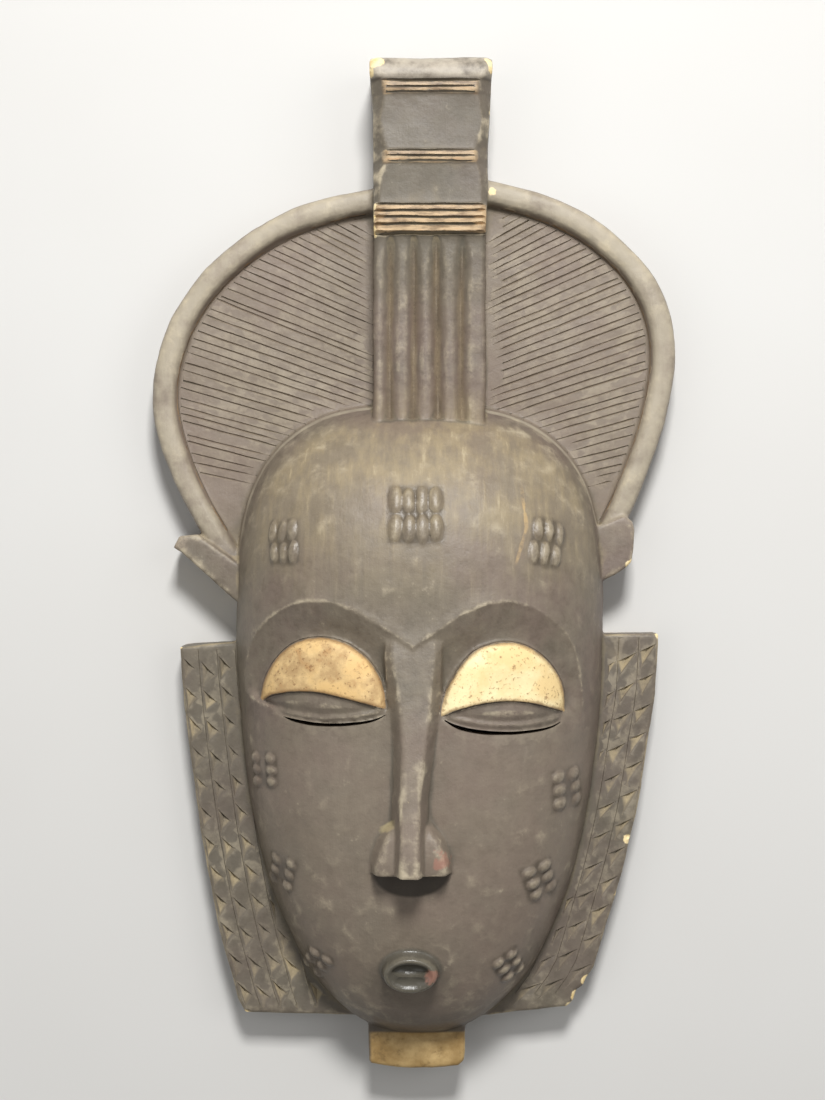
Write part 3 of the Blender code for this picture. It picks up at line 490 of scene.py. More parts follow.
# Carved block: all forms are one piece of wood, so they are fused here, and the knife's small
# unevenness and the column's flutes are put on. Then the hollow and the flat back are cut.
VOXEL = 0.0008
TRIANGLES = 126000
UNEVENNESS = ((0.030, 0.0011), (0.009, 0.00045), (0.0035, 0.00012))  # size and height of the waves
FLUTES = [  # middle, half-width and depth of each hollow of the column's foot
    (-10.9, 5.0, 3.2), (-0.1, 5.0, 3.3), (10.7, 5.2, 3.6), (22.2, 5.0, 3.3),
]
FLUTE_STATIONS = [  # y, and how fully the flutes are cut there
    (50.0, 0.85), (70.0, 0.95), (110.0, 1.0), (138.0, 1.0), (145.0, 0.85), (150.0, 0.55), (152.8, 0.2),
]


def apply_modifiers(thing):
    """Replace the object's mesh by its mesh with the modifiers applied."""
    graph = bpy.context.evaluated_depsgraph_get()
    mesh = bpy.data.meshes.new_from_object(thing.evaluated_get(graph))
    thing.modifiers.clear()
    thing.data = mesh


def flute_depth(x, y, z):
    """How far the column's foot is hollowed between its ribs, in millimetres."""
    depth = np.zeros(x.shape)
    grown = np.interp(y, [place for place, _ in FLUTE_STATIONS], [share for _, share in FLUTE_STATIONS])
    for number, (middle, half, deep) in enumerate(FLUTES):
        bend = 0.4 * np.sin(y * 0.05 + number * 1.9) + 0.12 * np.sin(y * 0.17 + number)
        share = np.minimum(1.0, np.abs(x - middle - bend) / (half * (0.35 + 0.65 * grown)))
        depth = np.maximum(depth, deep * grown * (1.0 - np.sin(share * math.pi / 2) ** 1.25))
    above_face = step_up(z - face_height(x * 0.001, y * 0.001) * 1000.0, 0.3, 2.5)
    on_front = step_up(z, 36.0, 39.0) * (np.abs(x - 7.2) < 27.5) * (y < 152.9) * (y > 50.0)
    return depth * on_front * above_face


joined = bmesh.new()
for mesh in forms:
    joined.from_mesh(mesh)
block = bpy.data.meshes.new("carved_mask")
joined.to_mesh(block)
joined.free()
mask = placed("carved_mask", block)
remesh = mask.modifiers.new("fuse", "REMESH")
remesh.mode = "VOXEL"
remesh.voxel_size = VOXEL
smooth = mask.modifiers.new("smooth", "SMOOTH")
smooth.factor = 0.5
smooth.iterations = 2
for scale, strength in UNEVENNESS:
    texture = bpy.data.textures.new(f"unevenness_{scale}", "CLOUDS")
    texture.noise_scale = scale
    texture.noise_depth = 1
    uneven = mask.modifiers.new(f"unevenness_{scale}", "DISPLACE")
    uneven.texture = texture
    uneven.texture_coords = "LOCAL"
    uneven.strength = strength
    uneven.mid_level = 0.5
apply_modifiers(mask)
points = points_of(mask.data)
points[:, 2] -= 0.001 * flute_depth(points[:, 0] * 1000.0, points[:, 1] * 1000.0, points[:, 2] * 1000.0)
move_points(mask.data, points)
thin = mask.modifiers.new("thin", "DECIMATE")
thin.ratio = TRIANGLES / (2 * len(mask.data.polygons))
apply_modifiers(mask)


def cut(meshes, name):
    """Cut closed forms from the mask."""
    shape = bmesh.new()
    for mesh in meshes:
        shape.from_mesh(mesh)
    cutter_mesh = bpy.data.meshes.new(name)
    shape.to_mesh(cutter_mesh)
    shape.free()
    cutter = placed(name, cutter_mesh)
    modifier = mask.modifiers.new(name, "BOOLEAN")
    modifier.operation = "DIFFERENCE"
    modifier.solver = "MANIFOLD"
    modifier.object = cutter
    apply_modifiers(mask)
    bpy.data.objects.remove(cutter, do_unlink=True)


WALL = 0.012
hollow = bmesh.new()
bmesh.ops.create_uvsphere(hollow, u_segments=150, v_segments=130, radius=1.0)
for vert in hollow.verts:
    y = FACE_MID_Y + vert.co.z * ((FOREHEAD_RISE if vert.co.z > 0 else JAW_LENGTH) - WALL)
    angle = math.atan2(vert.co.y, vert.co.x)
    half, height = (float(size) for size in face_section(y, WALL))
    across = math.copysign(abs(math.cos(angle)) ** 0.8, math.cos(angle))
    up = math.copysign(abs(math.sin(angle)) ** 0.8, math.sin(angle))
    place = Vector((FACE_X + half * across, y, (height if up > 0 else min(height, 0.03)) * up))
    spot = place * 1000.0
    gouge = noise.voronoi(Vector((spot.x / 11.0, spot.y / 24.0, spot.z / 11.0)))[0][0]
    vert.co = place * (1.0 + 0.010 * (0.5 - gouge) + 0.010 * noise.noise(spot * 0.03))
    vert.co.y = place.y
cut([keep(hollow, "hollow", [])], "hollow")

ground = bmesh.new()
bmesh.ops.create_grid(ground, x_segments=100, y_segments=180, size=0.5)
under = bmesh.ops.extrude_face_region(ground, geom=ground.faces[:])["geom"]
under = [item for item in under if isinstance(item, bmesh.types.BMVert)]
bmesh.ops.translate(ground, verts=under, vec=(0.0, 0.0, -0.05))
for vert in ground.verts:
    vert.co.x *= 0.28
    vert.co.y *= 0.52
    if vert.co.z > -0.01:
        spot = vert.co * 1000.0
        adze = noise.voronoi(Vector((spot.x / 16.0, spot.y / 30.0, 0.0)))[0][0]
        vert.co.z = 0.0009 * max(0.0, 0.55 - adze)
bmesh.ops.holes_fill(ground, edges=ground.edges, sides=0)
cut([keep(ground, "ground", [])], "back")


# Fine cutting: what the carver did last with small chisels and a knife. Slits under the eyes,
# the mouth, creases, grooves of the column, hatching, chip carving, and what broke off since.
HATCH_PITCH = 3.5
HATCH_TOP, HATCH_FOOT = 166.0, 22.0
HATCH_SLOPES = (30.0, 12.0)
HATCH_CLEAR, CHIP_CLEAR, LINE_CLEAR = 0.019, 0.017, 0.015  # how high the face may be where a cut runs
RIM_WIDTH = 0.0123
WING_SKIN = 21.5
COLUMN_SIDES = (-18.8, 33.2)
COLUMN_GROOVES = [  # y, width, depth and how far in from the column's edges
    (224.0, 1.7, 1.6, 3.4), (221.0, 1.3, 1.2, 6.4), (218.3, 1.1, 0.7, 6.2), (191.8, 1.2, 1.0, 6.4),
    (189.1, 1.3, 1.2, 6.2), (186.4, 1.1, 0.6, 6.2), (166.9, 1.3, 1.3, 0.2), (163.9, 1.5, 1.4, -0.5),
    (160.8, 1.5, 1.4, -0.5), (157.6, 1.6, 1.5, -0.5), (153.2, 2.0, 2.0, -0.5),
]
WING_STRIPS = {  # side: top, foot, pitch, slope of the cuts, and each strip's inset from the edge
    -1: (-41.5, -210.5, 13.9, 1.02, (0.8, 9.0, 17.8, 26.4, 35.0, 43.6)),
    1: (-36.0, -209.0, 13.9, 0.46, (0.4, 9.6, 19.0, 28.4, 37.8, 47.0)),
}


carved = bmesh.new()
carved.from_mesh(mask.data)
carved_block = BVHTree.FromBMesh(carved)
carved.free()


def block_z(x, y):
    """Height of the carved block under a point, in millimetres."""
    hit = carved_block.ray_cast(Vector((x * 0.001, y * 0.001, 0.2)), Vector((0.0, 0.0, -1.0)))[0]
    return hit.z * 1000.0 if hit else 0.0


def face_over(x, y):
    """Height of the plain face in metres, over a point in millimetres."""
    return float(face_height(x * 0.001, y * 0.001))


def v_cut(points, width, depth, collected, ends=0.35):
    """A V-shaped cutter along points on a surface, shallower towards its ends by a share."""
    line = [Vector(point) for point in points]
    rings = []
    for number, point in enumerate(line):
        along = (line[min(number + 1, len(line) - 1)] - line[max(number - 1, 0)]).normalized()
        across = Vector((0.0, 0.0, 1.0)).cross(along).normalized()
        up = along.cross(across)
        share = min(1.0, ends + 2.5 * min(number, len(line) - 1 - number) / max(len(line) - 1, 1))
        deep, wide = depth * share, width * (0.5 + 0.5 * share)
        rings.append([(point + across * wide + up * deep) * 0.001,
                      (point - across * wide + up * deep) * 0.001, (point - up * deep) * 0.001])
    keep(loft(rings), "v_cut", collected)


def shifted(line, distance):
    """A line moved sideways to the left of its direction."""
    points = np.array(line, float)
    along = np.gradient(points, axis=0)
    along /= np.maximum(np.hypot(along[:, 0], along[:, 1]), 1e-9)[:, None]
    return points + distance * np.column_stack((-along[:, 1], along[:, 0]))


def on_block(line, lift=0.0):
    """Points of a line on the carved block."""
    return [(float(point[0]), float(point[1]), block_z(point[0], point[1]) + lift) for point in line]


# The slits go through to the hollow, and a thin crease follows each lid and each closed eye.
slits, creases = [], []
for name, eye in EYES.items():
    lines = EYE_LINES[name]
    outline = lines["slit_upper"] + lines["slit_lower"][::-1]
    middle = block_z(*eye["middle"])
    keep(slab(outline, middle - 40.0, middle + 14.0, 0.0), "slit", slits)
    v_cut(on_block(shifted(lines["lid"][2:-2:2], -0.35 * eye["side"])), 0.55, 0.5, creases)
    v_cut(on_block(shifted(lines["upper"][1:-1:2], 0.25 * eye["side"])), 0.6, 0.7, creases)
cut(slits, "slits")
cut(creases, "creases")

# The mouth is cut out between two lips: deeper above the lower lip.
for rise, up, size in ((7.6, 2.2, (8.6, 3.6, 5.4)), (7.8, -2.6, (8.8, 3.9, 2.9))):
    lens = bmesh.new()
    bmesh.ops.create_uvsphere(lens, u_segments=28, v_segments=16, radius=1.0,
                              matrix=mouth_seat @ Matrix.Translation((0.0, up * 0.001, rise * 0.001))
                              @ Matrix.Diagonal((*[0.001 * length for length in size], 1.0)))
    cut([keep(lens, "mouth_cut", [])], "mouth_cut")

# Grooves between the column's rings and bands.
cutters = []
for y, width, depth, inset in COLUMN_GROOVES:
    low, high = COLUMN_SIDES[0] + inset, COLUMN_SIDES[1] + inset * -1
    if y > 180.0:
        high += 1.0
    count = 9
    points = [(low + (high - low) * number / (count - 1), y + 0.5 * noise.noise((number * 0.7, y, 0.0)))
              for number in range(count)]
    points = [(px, py, block_z(min(max(px, low + 1.5), high - 1.5), py)) for px, py in points]
    v_cut(points, width, depth, cutters, 0.8 if inset < 1 else 0.4)
cut(cutters, "column_grooves")

# Hatching: thin knife cuts that climb from the column to the rim, a little uneven.
cutters = []
chance = np.random.default_rng(11)
count = int((HATCH_TOP - HATCH_FOOT) / HATCH_PITCH)
for side in (-1, 1):
    for number in range(count):
        y = HATCH_TOP - (number + chance.uniform(-0.08, 0.08)) * HATCH_PITCH
        slope = math.tan(math.radians(HATCH_SLOPES[0] + (HATCH_SLOPES[1] - HATCH_SLOPES[0]) * number / count
                                      + chance.normal(0, 0.3)))
        edge = COLUMN_SIDES[0] if side < 0 else COLUMN_SIDES[1]
        points = []
        for distance in np.arange(0.3, 140.0, 1.0):
            px, py = edge + side * distance, y + distance * slope
            above = py * 0.001 - CREST_MID[side]
            reach, exponent = (CREST_UPPER if above > 0 else CREST_LOWER)[side]
            widest = (CREST_HALF_WIDTH - RIM_WIDTH) * 1000.0
            limit = widest * float(bow(above / (reach - RIM_WIDTH), exponent))
            if abs(px) > limit - 0.8 + chance.normal(0, 0.25):
                break
            if face_over(px, py) < HATCH_CLEAR:
                points.append((px, py + 0.5 * noise.noise((distance * 0.06, number * 3.3, side))))
        if len(points) > 7:
            short = points[::9] + [points[-1]]
            v_cut(on_block(short), chance.uniform(0.7, 1.1), chance.uniform(0.55, 0.95), cutters, 0.65)
cut(cutters, "hatching")

# Rim crease: a fine line where the crest's rim drops to the sunk field.
cutters = []
for side in (-1, 1):
    line = []
    for angle in np.arange(86, -62, -4.0):
        px, py = crest_edge(side, float(angle), RIM_WIDTH + 0.0001)
        px, py = px * 1000.0, py * 1000.0
        beside_column = not COLUMN_SIDES[0] - 0.5 < px < COLUMN_SIDES[1] + 0.5
        if beside_column and face_over(px, py) <= CHIP_CLEAR:
            line.append((px, py, block_z(px, py)))
    v_cut(line, 0.8, 0.6, cutters, 0.9)
cut(cutters, "rim_crease")


def wing_edge_x(side, y):
    """The wing's outer edge, in millimetres."""
    outline = OUTLINES["left_wing" if side < 0 else "right_wing"][0]
    corner = max(outline, key=lambda point: side * point[0])
    points = sorted((py, px) for px, py in outline[outline.index(corner):] if side * px > 70.0)
    return float(np.interp(y, [point[0] for point in points], [point[1] for point in points]))


# Chip carving: rows of three-cornered chips in strips along each wing's outer edge, with a
# thin line between the strips. Each chip is steep on its upper side.
chance = np.random.default_rng(5)
for side, (top, foot, pitch, slope, insets) in WING_STRIPS.items():
    chips, lines = [], []
    for strip, (outer, inner) in enumerate(zip(insets[:-1], insets[1:])):
        y = top - chance.uniform(0.0, 2.0) - (strip % 2) * pitch * (0.12 if side < 0 else 0.0)
        if side > 0:
            y -= strip * 4.3
        while y > foot + 3.0:
            size = 1.0 + chance.normal(0, 0.06)
            wide = (inner - outer) * (chance.uniform(0.66, 0.8) if side < 0 else chance.uniform(0.92, 1.0))
            tip_fall, tip_share = chance.uniform(0.42, 0.58), chance.uniform(0.62, 0.85)
            deep = chance.uniform(1.5, 2.2)
            for narrower in (1.0, 0.82, 0.66, 0.5):
                across = wide * narrower
                low_y = y - across * slope * size
                tip_y = y - pitch * 0.84 * size if side < 0 else low_y - pitch * tip_fall
                tip_inset = 0.6 if side < 0 else across * tip_share
                corners = []
                for corner_y, inset in ((y, 0.3), (low_y, across), (tip_y, tip_inset)):
                    corner_x = wing_edge_x(side, corner_y) - side * (outer + inset)
                    corner_z = min(block_z(corner_x - side * 1.5, corner_y), WING_SKIN)
                    corners.append(Vector((corner_x, corner_y, corner_z)))
                clear = all(face_over(corner.x, corner.y) < CHIP_CLEAR for corner in corners)
                if clear:
                    break
            bottom = (corners[0] + corners[1]) / 2 + Vector((0.0, 0.0, -deep))
            bottom += (corners[2] - bottom) * 0.08
            if clear and tip_y > foot:
                chip = bmesh.new()
                made = bmesh.ops.create_cone(chip, cap_ends=True, segments=3, radius1=1.0, radius2=0.0,
                                             depth=1.0)["verts"]
                upper = [vert for vert in made if vert.co.z < 0]
                for vert in made:
                    if vert not in upper:
                        vert.co = bottom * 0.001
                for vert, corner in zip(upper, corners):
                    vert.co = (bottom + (corner - bottom) * 1.25) * 0.001
                keep(chip, "chip", chips)
            y -= pitch * chance.uniform(0.96, 1.04)
        if strip:
            line = [(wing_edge_x(side, float(py)) - side * (outer - 0.2), float(py))
                    for py in np.arange(top + 2.0, foot, -8.0)]
            line = [point for point in on_block(line)
                    if 18.0 < point[2] < 22.0 and face_over(*point[:2]) < LINE_CLEAR]
            if len(line) > 2:
                v_cut(line, 0.32, 0.28, lines, 0.9)
    cut(chips, "chips")
    cut(lines, "strip_lines")

# Knocks: the column's upper corners, the right ear and the right wing's foot lost splinters.
KNOCKS = [  # place and radius
    (-21.2, 236.6, 46.0, 5.0), (-21.8, 229.0, 44.0, 2.6), (37.4, 236.4, 45.6, 3.9),
    (36.9, 228.2, 44.8, 1.8), (104.0, 0.0, 28.4, 2.6), (82.4, -195.6, 21.6, 2.7), (77.9, -204.0, 21.4, 3.0),
    (101.8, -128.0, 21.4, 2.0), (-79.0, -212.0, 21.5, 2.6), (-112.8, -38.0, 21.8, 2.6),
    (117.0, -31.0, 21.8, 2.4),
]
cutters = []
for x, y, z, radius in KNOCKS:
    knock = bmesh.new()
    bmesh.ops.create_icosphere(knock, subdivisions=3, radius=radius)
    for vert in knock.verts:
        vert.co *= 1.0 + 0.35 * noise.noise(vert.co * 0.45 + Vector((x, y, z)))
        vert.co = (vert.co + Vector((x, y, z))) * 0.001
    keep(knock, "knock", cutters)
cut(cutters, "knocks")


# Paint and wear: which wood is bare, dusty, worn or hidden, kept as numbers on the mesh that
# the finish reads. Distances are in millimetres, above 0 where the finish applies.
mesh = mask.data
mesh.polygons.foreach_set("use_smooth", np.ones(len(mesh.polygons), bool))
mesh.set_sharp_from_angle(angle=math.radians(36.0))
spots = points_of(mesh) * 1000.0
px, py, pz = spots[:, 0], spots[:, 1], spots[:, 2]
normals = np.empty(len(mesh.vertices) * 3)
mesh.vertices.foreach_get("normal", normals)
normals = normals.reshape(-1, 3)
edges = np.empty(len(mesh.edges) * 2, int)
mesh.edges.foreach_get("vertices", edges)
edges = edges.reshape(-1, 2)
links = np.bincount(edges.ravel(), minlength=len(spots)).astype(float)


def spread(values, times):
    """Values smoothed over the mesh's edges."""
    for _ in range(times):
        total = np.zeros_like(values)
        for column in range(values.shape[1]):
            total[:, column] = (np.bincount(edges[:, 0], values[edges[:, 1], column], len(values))
                                + np.bincount(edges[:, 1], values[edges[:, 0], column], len(values)))
        values = 0.4 * values + 0.6 * total / links[:, None]
    return values


fine, broad = spread(spots, 3), spread(spots, 24)
proud = ((spots - fine) * normals).sum(1)
high = ((spots - broad) * normals).sum(1)
proud, high = spread(np.column_stack((proud, high)), 1).T


def store(name, values):
    """Keep one number per point of the mask."""
    attribute = mesh.attributes.new(name, "FLOAT", "POINT")
    attribute.data.foreach_set("value", np.ascontiguousarray(values, np.float32))


store("edge_wear", proud)
store("rise", high)
lids = np.full(len(spots), -20.0)
for name in EYES:
    middle = EYES[name]["middle"]
    near = (np.abs(px - middle[0]) < 45) & (np.abs(py - middle[1]) < 45) & (pz > 30)
    found = depth_inside(px[near], py[near], EYE_LINES[name]["bare_lid"])
    lids[near] = np.maximum(lids[near], found)
store("lid", lids)
scarred = np.full(len(spots), -20.0)
for (x, y), columns, rows, half_length, half_width, turn in SCARS:
    angle = math.radians(turn)
    across = (px - x) * math.cos(angle) + (py - y) * math.sin(angle)
    along = (py - y) * math.cos(angle) - (px - x) * math.sin(angle)
    inside = np.minimum(columns * half_width + 0.6 - np.abs(across),
                        rows * half_length + 0.6 - np.abs(along))
    scarred = np.maximum(scarred, np.where(pz > 24.0, inside, -20.0))
store("scarred", scarred)
BARE = [  # place and radius of each spot where the paint is gone
    (-19.6, 234.4, 43.0, 5.2), (-16.0, 233.6, 44.5, 3.4), (-20.2, 228.0, 42.0, 2.6),
    (35.8, 234.6, 43.0, 3.6), (36.2, 229.0, 42.6, 2.4), (102.0, 0.2, 26.4, 3.0),
    (81.4, -196.0, 20.0, 2.8), (77.2, -203.4, 19.0, 3.6), (73.6, -208.0, 18.0, 2.6),
    (100.9, -129.0, 19.4, 2.2), (-79.6, -211.4, 19.6, 1.6), (-111.2, -38.6, 19.0, 1.8),
    (115.9, -32.2, 19.4, 2.0), (37.0, 176.0, 24.5, 2.0), (95.0, -155.0, 18.0, 1.8),
    (-20.0, 160.5, 43.0, 2.4), (-18.6, 155.5, 43.0, 1.8), (-19.0, 166.0, 43.0, 1.6),
    (-18.8, 152.6, 42.0, 1.4), (34.0, 210.0, 38.0, 1.4), (-19.6, 206.0, 38.0, 1.2),
    (34.2, 184.0, 40.0, 1.2), (-75.0, 133.0, 24.8, 1.5), (-121.0, 92.0, 23.0, 1.2),
    (-64.0, -99.6, 20.0, 1.2), (-2.0, -103.6, 90.0, 1.0), (52.0, -45.0, 60.0, 1.0),
]
bare = np.full(len(spots), -20.0)
for x, y, z, radius in BARE:
    bare = np.maximum(bare, radius - np.sqrt((px - x) ** 2 + (py - y) ** 2 + (pz - z) ** 2))
bare = np.maximum(bare, np.where((px < -84) & (py < 9) & (py > -18) & (pz < 23.5), 23.5 - pz, -20.0))
store("bare", bare)
half, height = face_section(py * 0.001, 0.0105)
hollow_top = height * bow((px * 0.001 - FACE_X) / np.maximum(half, 1e-6), 2.5) * 1000.0
downward = normals[:, 2]
behind = (downward < -0.35) | (pz < hollow_top - 0.5) | ((pz < 1.5) & (downward < -0.1))
store("hidden_side", spread(np.where(behind, 1.0, -1.0)[:, None], 1)[:, 0])


# Finish: dark brown and grey paint gone matt and dusty, cream paint on the lids, rubbed tan
# rings, bare wood where splinters came off, and plain old wood on the hidden side.
finish = bpy.data.materials.new("painted_wood_worn")
finish.use_nodes = True


class Paint:
    """A socket of the mask's material. Sums and products of these add Math nodes."""

    nodes, links = None, None

    def __init__(self, socket):
        self.socket = socket

    @classmethod
    def node(cls, kind, settings=None, sockets=None, output=0):
        """Add a node: its settings first, then values or links for its sockets."""
        made = cls.nodes.new(kind)
        for name, value in (settings or {}).items():
            setattr(made, name, value)
        for name, value in (sockets or {}).items():
            if isinstance(value, Paint):
                cls.links.new(value.socket, made.inputs[name])
            else:
                made.inputs[name].default_value = value
        return cls(made.outputs[output])

    def sum_with(self, operation, first, second):
        return self.node("ShaderNodeMath", {"operation": operation}, {0: first, 1: second})

    def __add__(self, other):
        return self.sum_with("ADD", self, other)

    def __radd__(self, other):
        return self.sum_with("ADD", other, self)

    def __sub__(self, other):
        return self.sum_with("SUBTRACT", self, other)

    def __rsub__(self, other):
        return self.sum_with("SUBTRACT", other, self)

    def __mul__(self, other):
        return self.sum_with("MULTIPLY", self, other)

    def __rmul__(self, other):
        return self.sum_with("MULTIPLY", other, self)

    def __abs__(self):
        return self.node("ShaderNodeMath", {"operation": "ABSOLUTE"}, {0: self})


def tone(colour):
    """A colour as seen on a screen, from 0 to 255, made linear. A socket stays as it is."""
    if isinstance(colour, Paint):
        return colour
    parts = [c / 255 / 12.92 if c <= 10 else ((c / 255 + 0.055) / 1.055) ** 2.4 for c in colour]
    return (*parts, 1.0)


def rising(value, low, high):
    """0 below low and 1 above high, with a soft step between."""
    return Paint.node("ShaderNodeMapRange", {"interpolation_type": "SMOOTHSTEP"},
                      {"Value": value, "From Min": low, "From Max": high})


def over(colour, *layers):
    """A colour with layers laid over it, each given as how much of it shows and its own colour."""
    for share, layer in layers:
        colour = Paint.node("ShaderNodeMix", {"data_type": "RGBA"},
                            {0: share, 6: tone(colour), 7: tone(layer)}, 2)
    return colour


def away(x, y, wide=1.0, tall=1.0):
    """Squared distance from a spot on the mask, in millimetres, stretched both ways."""
    return wide * (x_mm - x) * (x_mm - x) + tall * (y_mm - y) * (y_mm - y)


def grain(scale, detail=3.0, stretch=(1.0, 1.0, 1.0), roughness=0.55, shift=(0.0, 0.0, 0.0)):
    """Cloudy noise on the mask, about 0.5 on average; scale is in waves per metre."""
    place = Paint.node("ShaderNodeVectorMath", {"operation": "MULTIPLY_ADD"},
                       {0: here, 1: stretch, 2: shift})
    return Paint.node("ShaderNodeTexNoise", {}, {"Vector": place, "Scale": scale, "Detail": detail,
                                                 "Roughness": roughness})


def stored(name):
    """A number kept on the mask's points."""
    return Paint.node("ShaderNodeAttribute", {"attribute_name": name}, {}, 2)


Paint.nodes, Paint.links = finish.node_tree.nodes, finish.node_tree.links
shader = Paint.nodes["Principled BSDF"]
here = Paint.node("ShaderNodeTexCoord", {}, {}, 3)
split = Paint.nodes.new("ShaderNodeSeparateXYZ")
Paint.links.new(here.socket, split.inputs[0])
x_mm, y_mm, z_mm = (Paint(output) * 1000.0 for output in split.outputs)
wear, rise, lid = stored("edge_wear"), stored("rise"), stored("lid")
bare, hidden = stored("bare"), stored("hidden_side")

clouds = grain(16.0, 4.0)
patches = grain(48.0, 5.0, shift=(3.1, 0.4, 1.7))
mottle = grain(170.0, 6.0, roughness=0.65, shift=(0.3, 5.1, 2.2))
specks = grain(620.0, 3.0, roughness=0.6, shift=(1.3, 2.1, 4.2))
streaks = grain(1.0, 4.0, stretch=(330.0, 26.0, 120.0), roughness=0.6)
grit = mottle - 0.5
scar = rising(stored("scarred") + 5.0 * grit, -1.6, 1.4)

# Dark paint: grey-brown, with redder and greener stretches, rubbed a little paler in places,
# paler on the cheeks, and darker on the wings and the column as painted shade.
colour = over(
    (110, 100, 86),
    (rising(clouds, 0.40, 0.62), (110, 96, 86)),
    (rising(patches, 0.42, 0.72) * 0.5, (101, 95, 83)),
    (rising(mottle + 0.5 * streaks, 0.62, 1.06) * 0.30, (138, 128, 110)),
    (rising(mottle + 0.3 * specks, 0.66, 0.44) * 0.32, (80, 71, 59)),
)
# Painted shade: the low wings and the column are darkened.
flat = rising(y_mm, -30.0, -34.0) * rising(z_mm, 22.5, 21.5)
flat = flat + rising(y_mm, 110.0, 150.0) * rising(z_mm, 30.0, 38.0)
low_face = rising(y_mm, -60.0, -90.0) * rising(z_mm, 30.0, 40.0)
colour = over(colour, (flat * 0.45, (80, 75, 64)), (low_face * 0.42, (132, 119, 104)))

# Khaki dust on the forehead and brow, in runs that follow the face down.
forehead = rising(y_mm, -30.0, 40.0) * rising(z_mm, 30.0, 48.0) * rising(y_mm, 90.0, 70.0)
colour = over(
    colour,
    (forehead * 0.35, (138, 124, 101)),
    (forehead * rising(patches + 0.6 * streaks, 0.62, 1.05) * 0.55, (158, 141, 107)),
    (forehead * rising(streaks + 0.4 * patches, 0.80, 0.98) * 0.4, (184, 170, 142)),
)

# The crest is a shade more purple and its rim is rubbed pale on top.
crest = rising(z_mm, 28.0, 26.0) * rising(y_mm, 4.0, 20.0)
colour = over(colour, (crest * 0.5, (132, 118, 104)))
rim = crest * rising(z_mm, 21.0, 23.6)
colour = over(
    colour,
    (rim * rising(patches + 0.4 * mottle + 0.2 * streaks, 0.40, 0.90) * 0.85, (164, 154, 135)),
    (rim * rising(mottle + 0.5 * patches, 0.84, 1.04) * 0.4, (186, 173, 142)),
)

# Pale rubbed marks, more on edges; dust in the cuts, and darker where the surface lies sunk.
# There are fewer on the crest's field, the wings, the ribs, the scars and under the eyes.
on_wing = rising(y_mm, -30.0, -34.0) * rising(z_mm, 21.6, 20.6) * rising(y_mm, -213.0, -211.0)
on_ribs = rising(abs(x_mm - 7.2), 28.0, 26.0) * rising(y_mm, 152.0, 149.0)
on_ribs = on_ribs * rising(z_mm, 38.0, 39.5) * rising(y_mm, 54.0, 60.0)
fields = (1.0 - 0.7 * crest * rising(z_mm, 22.0, 20.0)) * (1.0 - 0.62 * on_wing) * (1.0 - 0.5 * on_ribs)
under_eyes = rising(y_mm, -66.0, -69.0) * rising(y_mm, -88.0, -82.0) * rising(z_mm, 45.0, 52.0)
fields = fields * (1.0 - 0.25 * scar) * (1.0 - 0.85 * under_eyes)
rubbed = rising(mottle + 0.35 * specks + 0.3 * patches, 0.97, 1.12) * 0.36
colour = over(colour, (rubbed * fields, (176, 164, 142)))
# On the brows and the scars these pale edges also stand for glints: painted highlights.
edge = rising(wear + 0.05 * grit, 0.055, 0.17) * rising(patches + 0.5 * mottle + 0.4 * specks, 0.78, 1.18)
colour = over(colour, (edge * fields * 0.8, (186, 173, 148)))
# Darker where the surface lies sunk below its surroundings, as in the coves.
sunk_darkening = rising(rise, -0.35, -1.3)
colour = over(colour, (sunk_darkening * 0.5, (66, 65, 56)))
dust = rising(wear + 0.10 * (specks - 0.5), -0.05, -0.16) * rising(z_mm, 46.0, 40.0)
colour = over(
    colour,
    (dust * fields * rising(patches + 0.4 * specks, 0.45, 0.90) * 0.55, (166, 149, 118)),
)
# Painted shade: the chin turns away from the light and is darkened.
chin_shade = rising(y_mm, -196.0, -216.0) * rising(z_mm, 20.0, 26.0)
colour = over(colour, (chin_shade * 0.6, (64, 58, 45)))

# Chips of the wings have paler floors, painted light where they face the lamp, cream in places, and the
# ribs' grooves hold brown dust.
# Painted light: the chips' floors, which face up to the lamp, are paler.
lit_chip_floors = on_wing * rising(z_mm, 19.9, 19.3) * rising(z_mm, 16.5, 18.0)
chipped = lit_chip_floors * rising(patches + 0.5 * mottle, 0.66, 0.98)
colour = over(
    colour,
    (lit_chip_floors * 0.22, (142, 130, 110)),
    (chipped * 0.55, (186, 168, 130)),
)
groove = rising(abs(x_mm - 7.2), 27.0, 25.0) * rising(y_mm, 153.0, 150.0) * rising(z_mm, 40.9, 38.6)
colour = over(colour, (groove * rising(z_mm, 33.0, 35.0) * 0.45, (98, 80, 60)))

# The mouth and the scars keep a darker, glossier paint, darker still in the gaps between the scars. A
# shadow is painted under the nose and shade under the mouth, with red and tan rubs beside them, and a tan
# scratch runs down beside the scars of the right temple.
mouth_ring = rising(away(-1.6, -182.4, tall=1.8), 250.0, 150.0)
colour = over(
    colour,
    (mouth_ring * 0.72, (68, 67, 60)),
    (scar * 0.3, (92, 82, 70)),
    (scar * rising(wear, 0.02, -0.10) * 0.55, (60, 52, 42)),
)
# Painted shade below the mouth.
shade_under_mouth = rising(away(-1.6, -189.0, tall=2.2), 620.0, 180.0)
colour = over(colour, (shade_under_mouth * rising(z_mm, 30.0, 36.0) * 0.3, (66, 64, 54)))
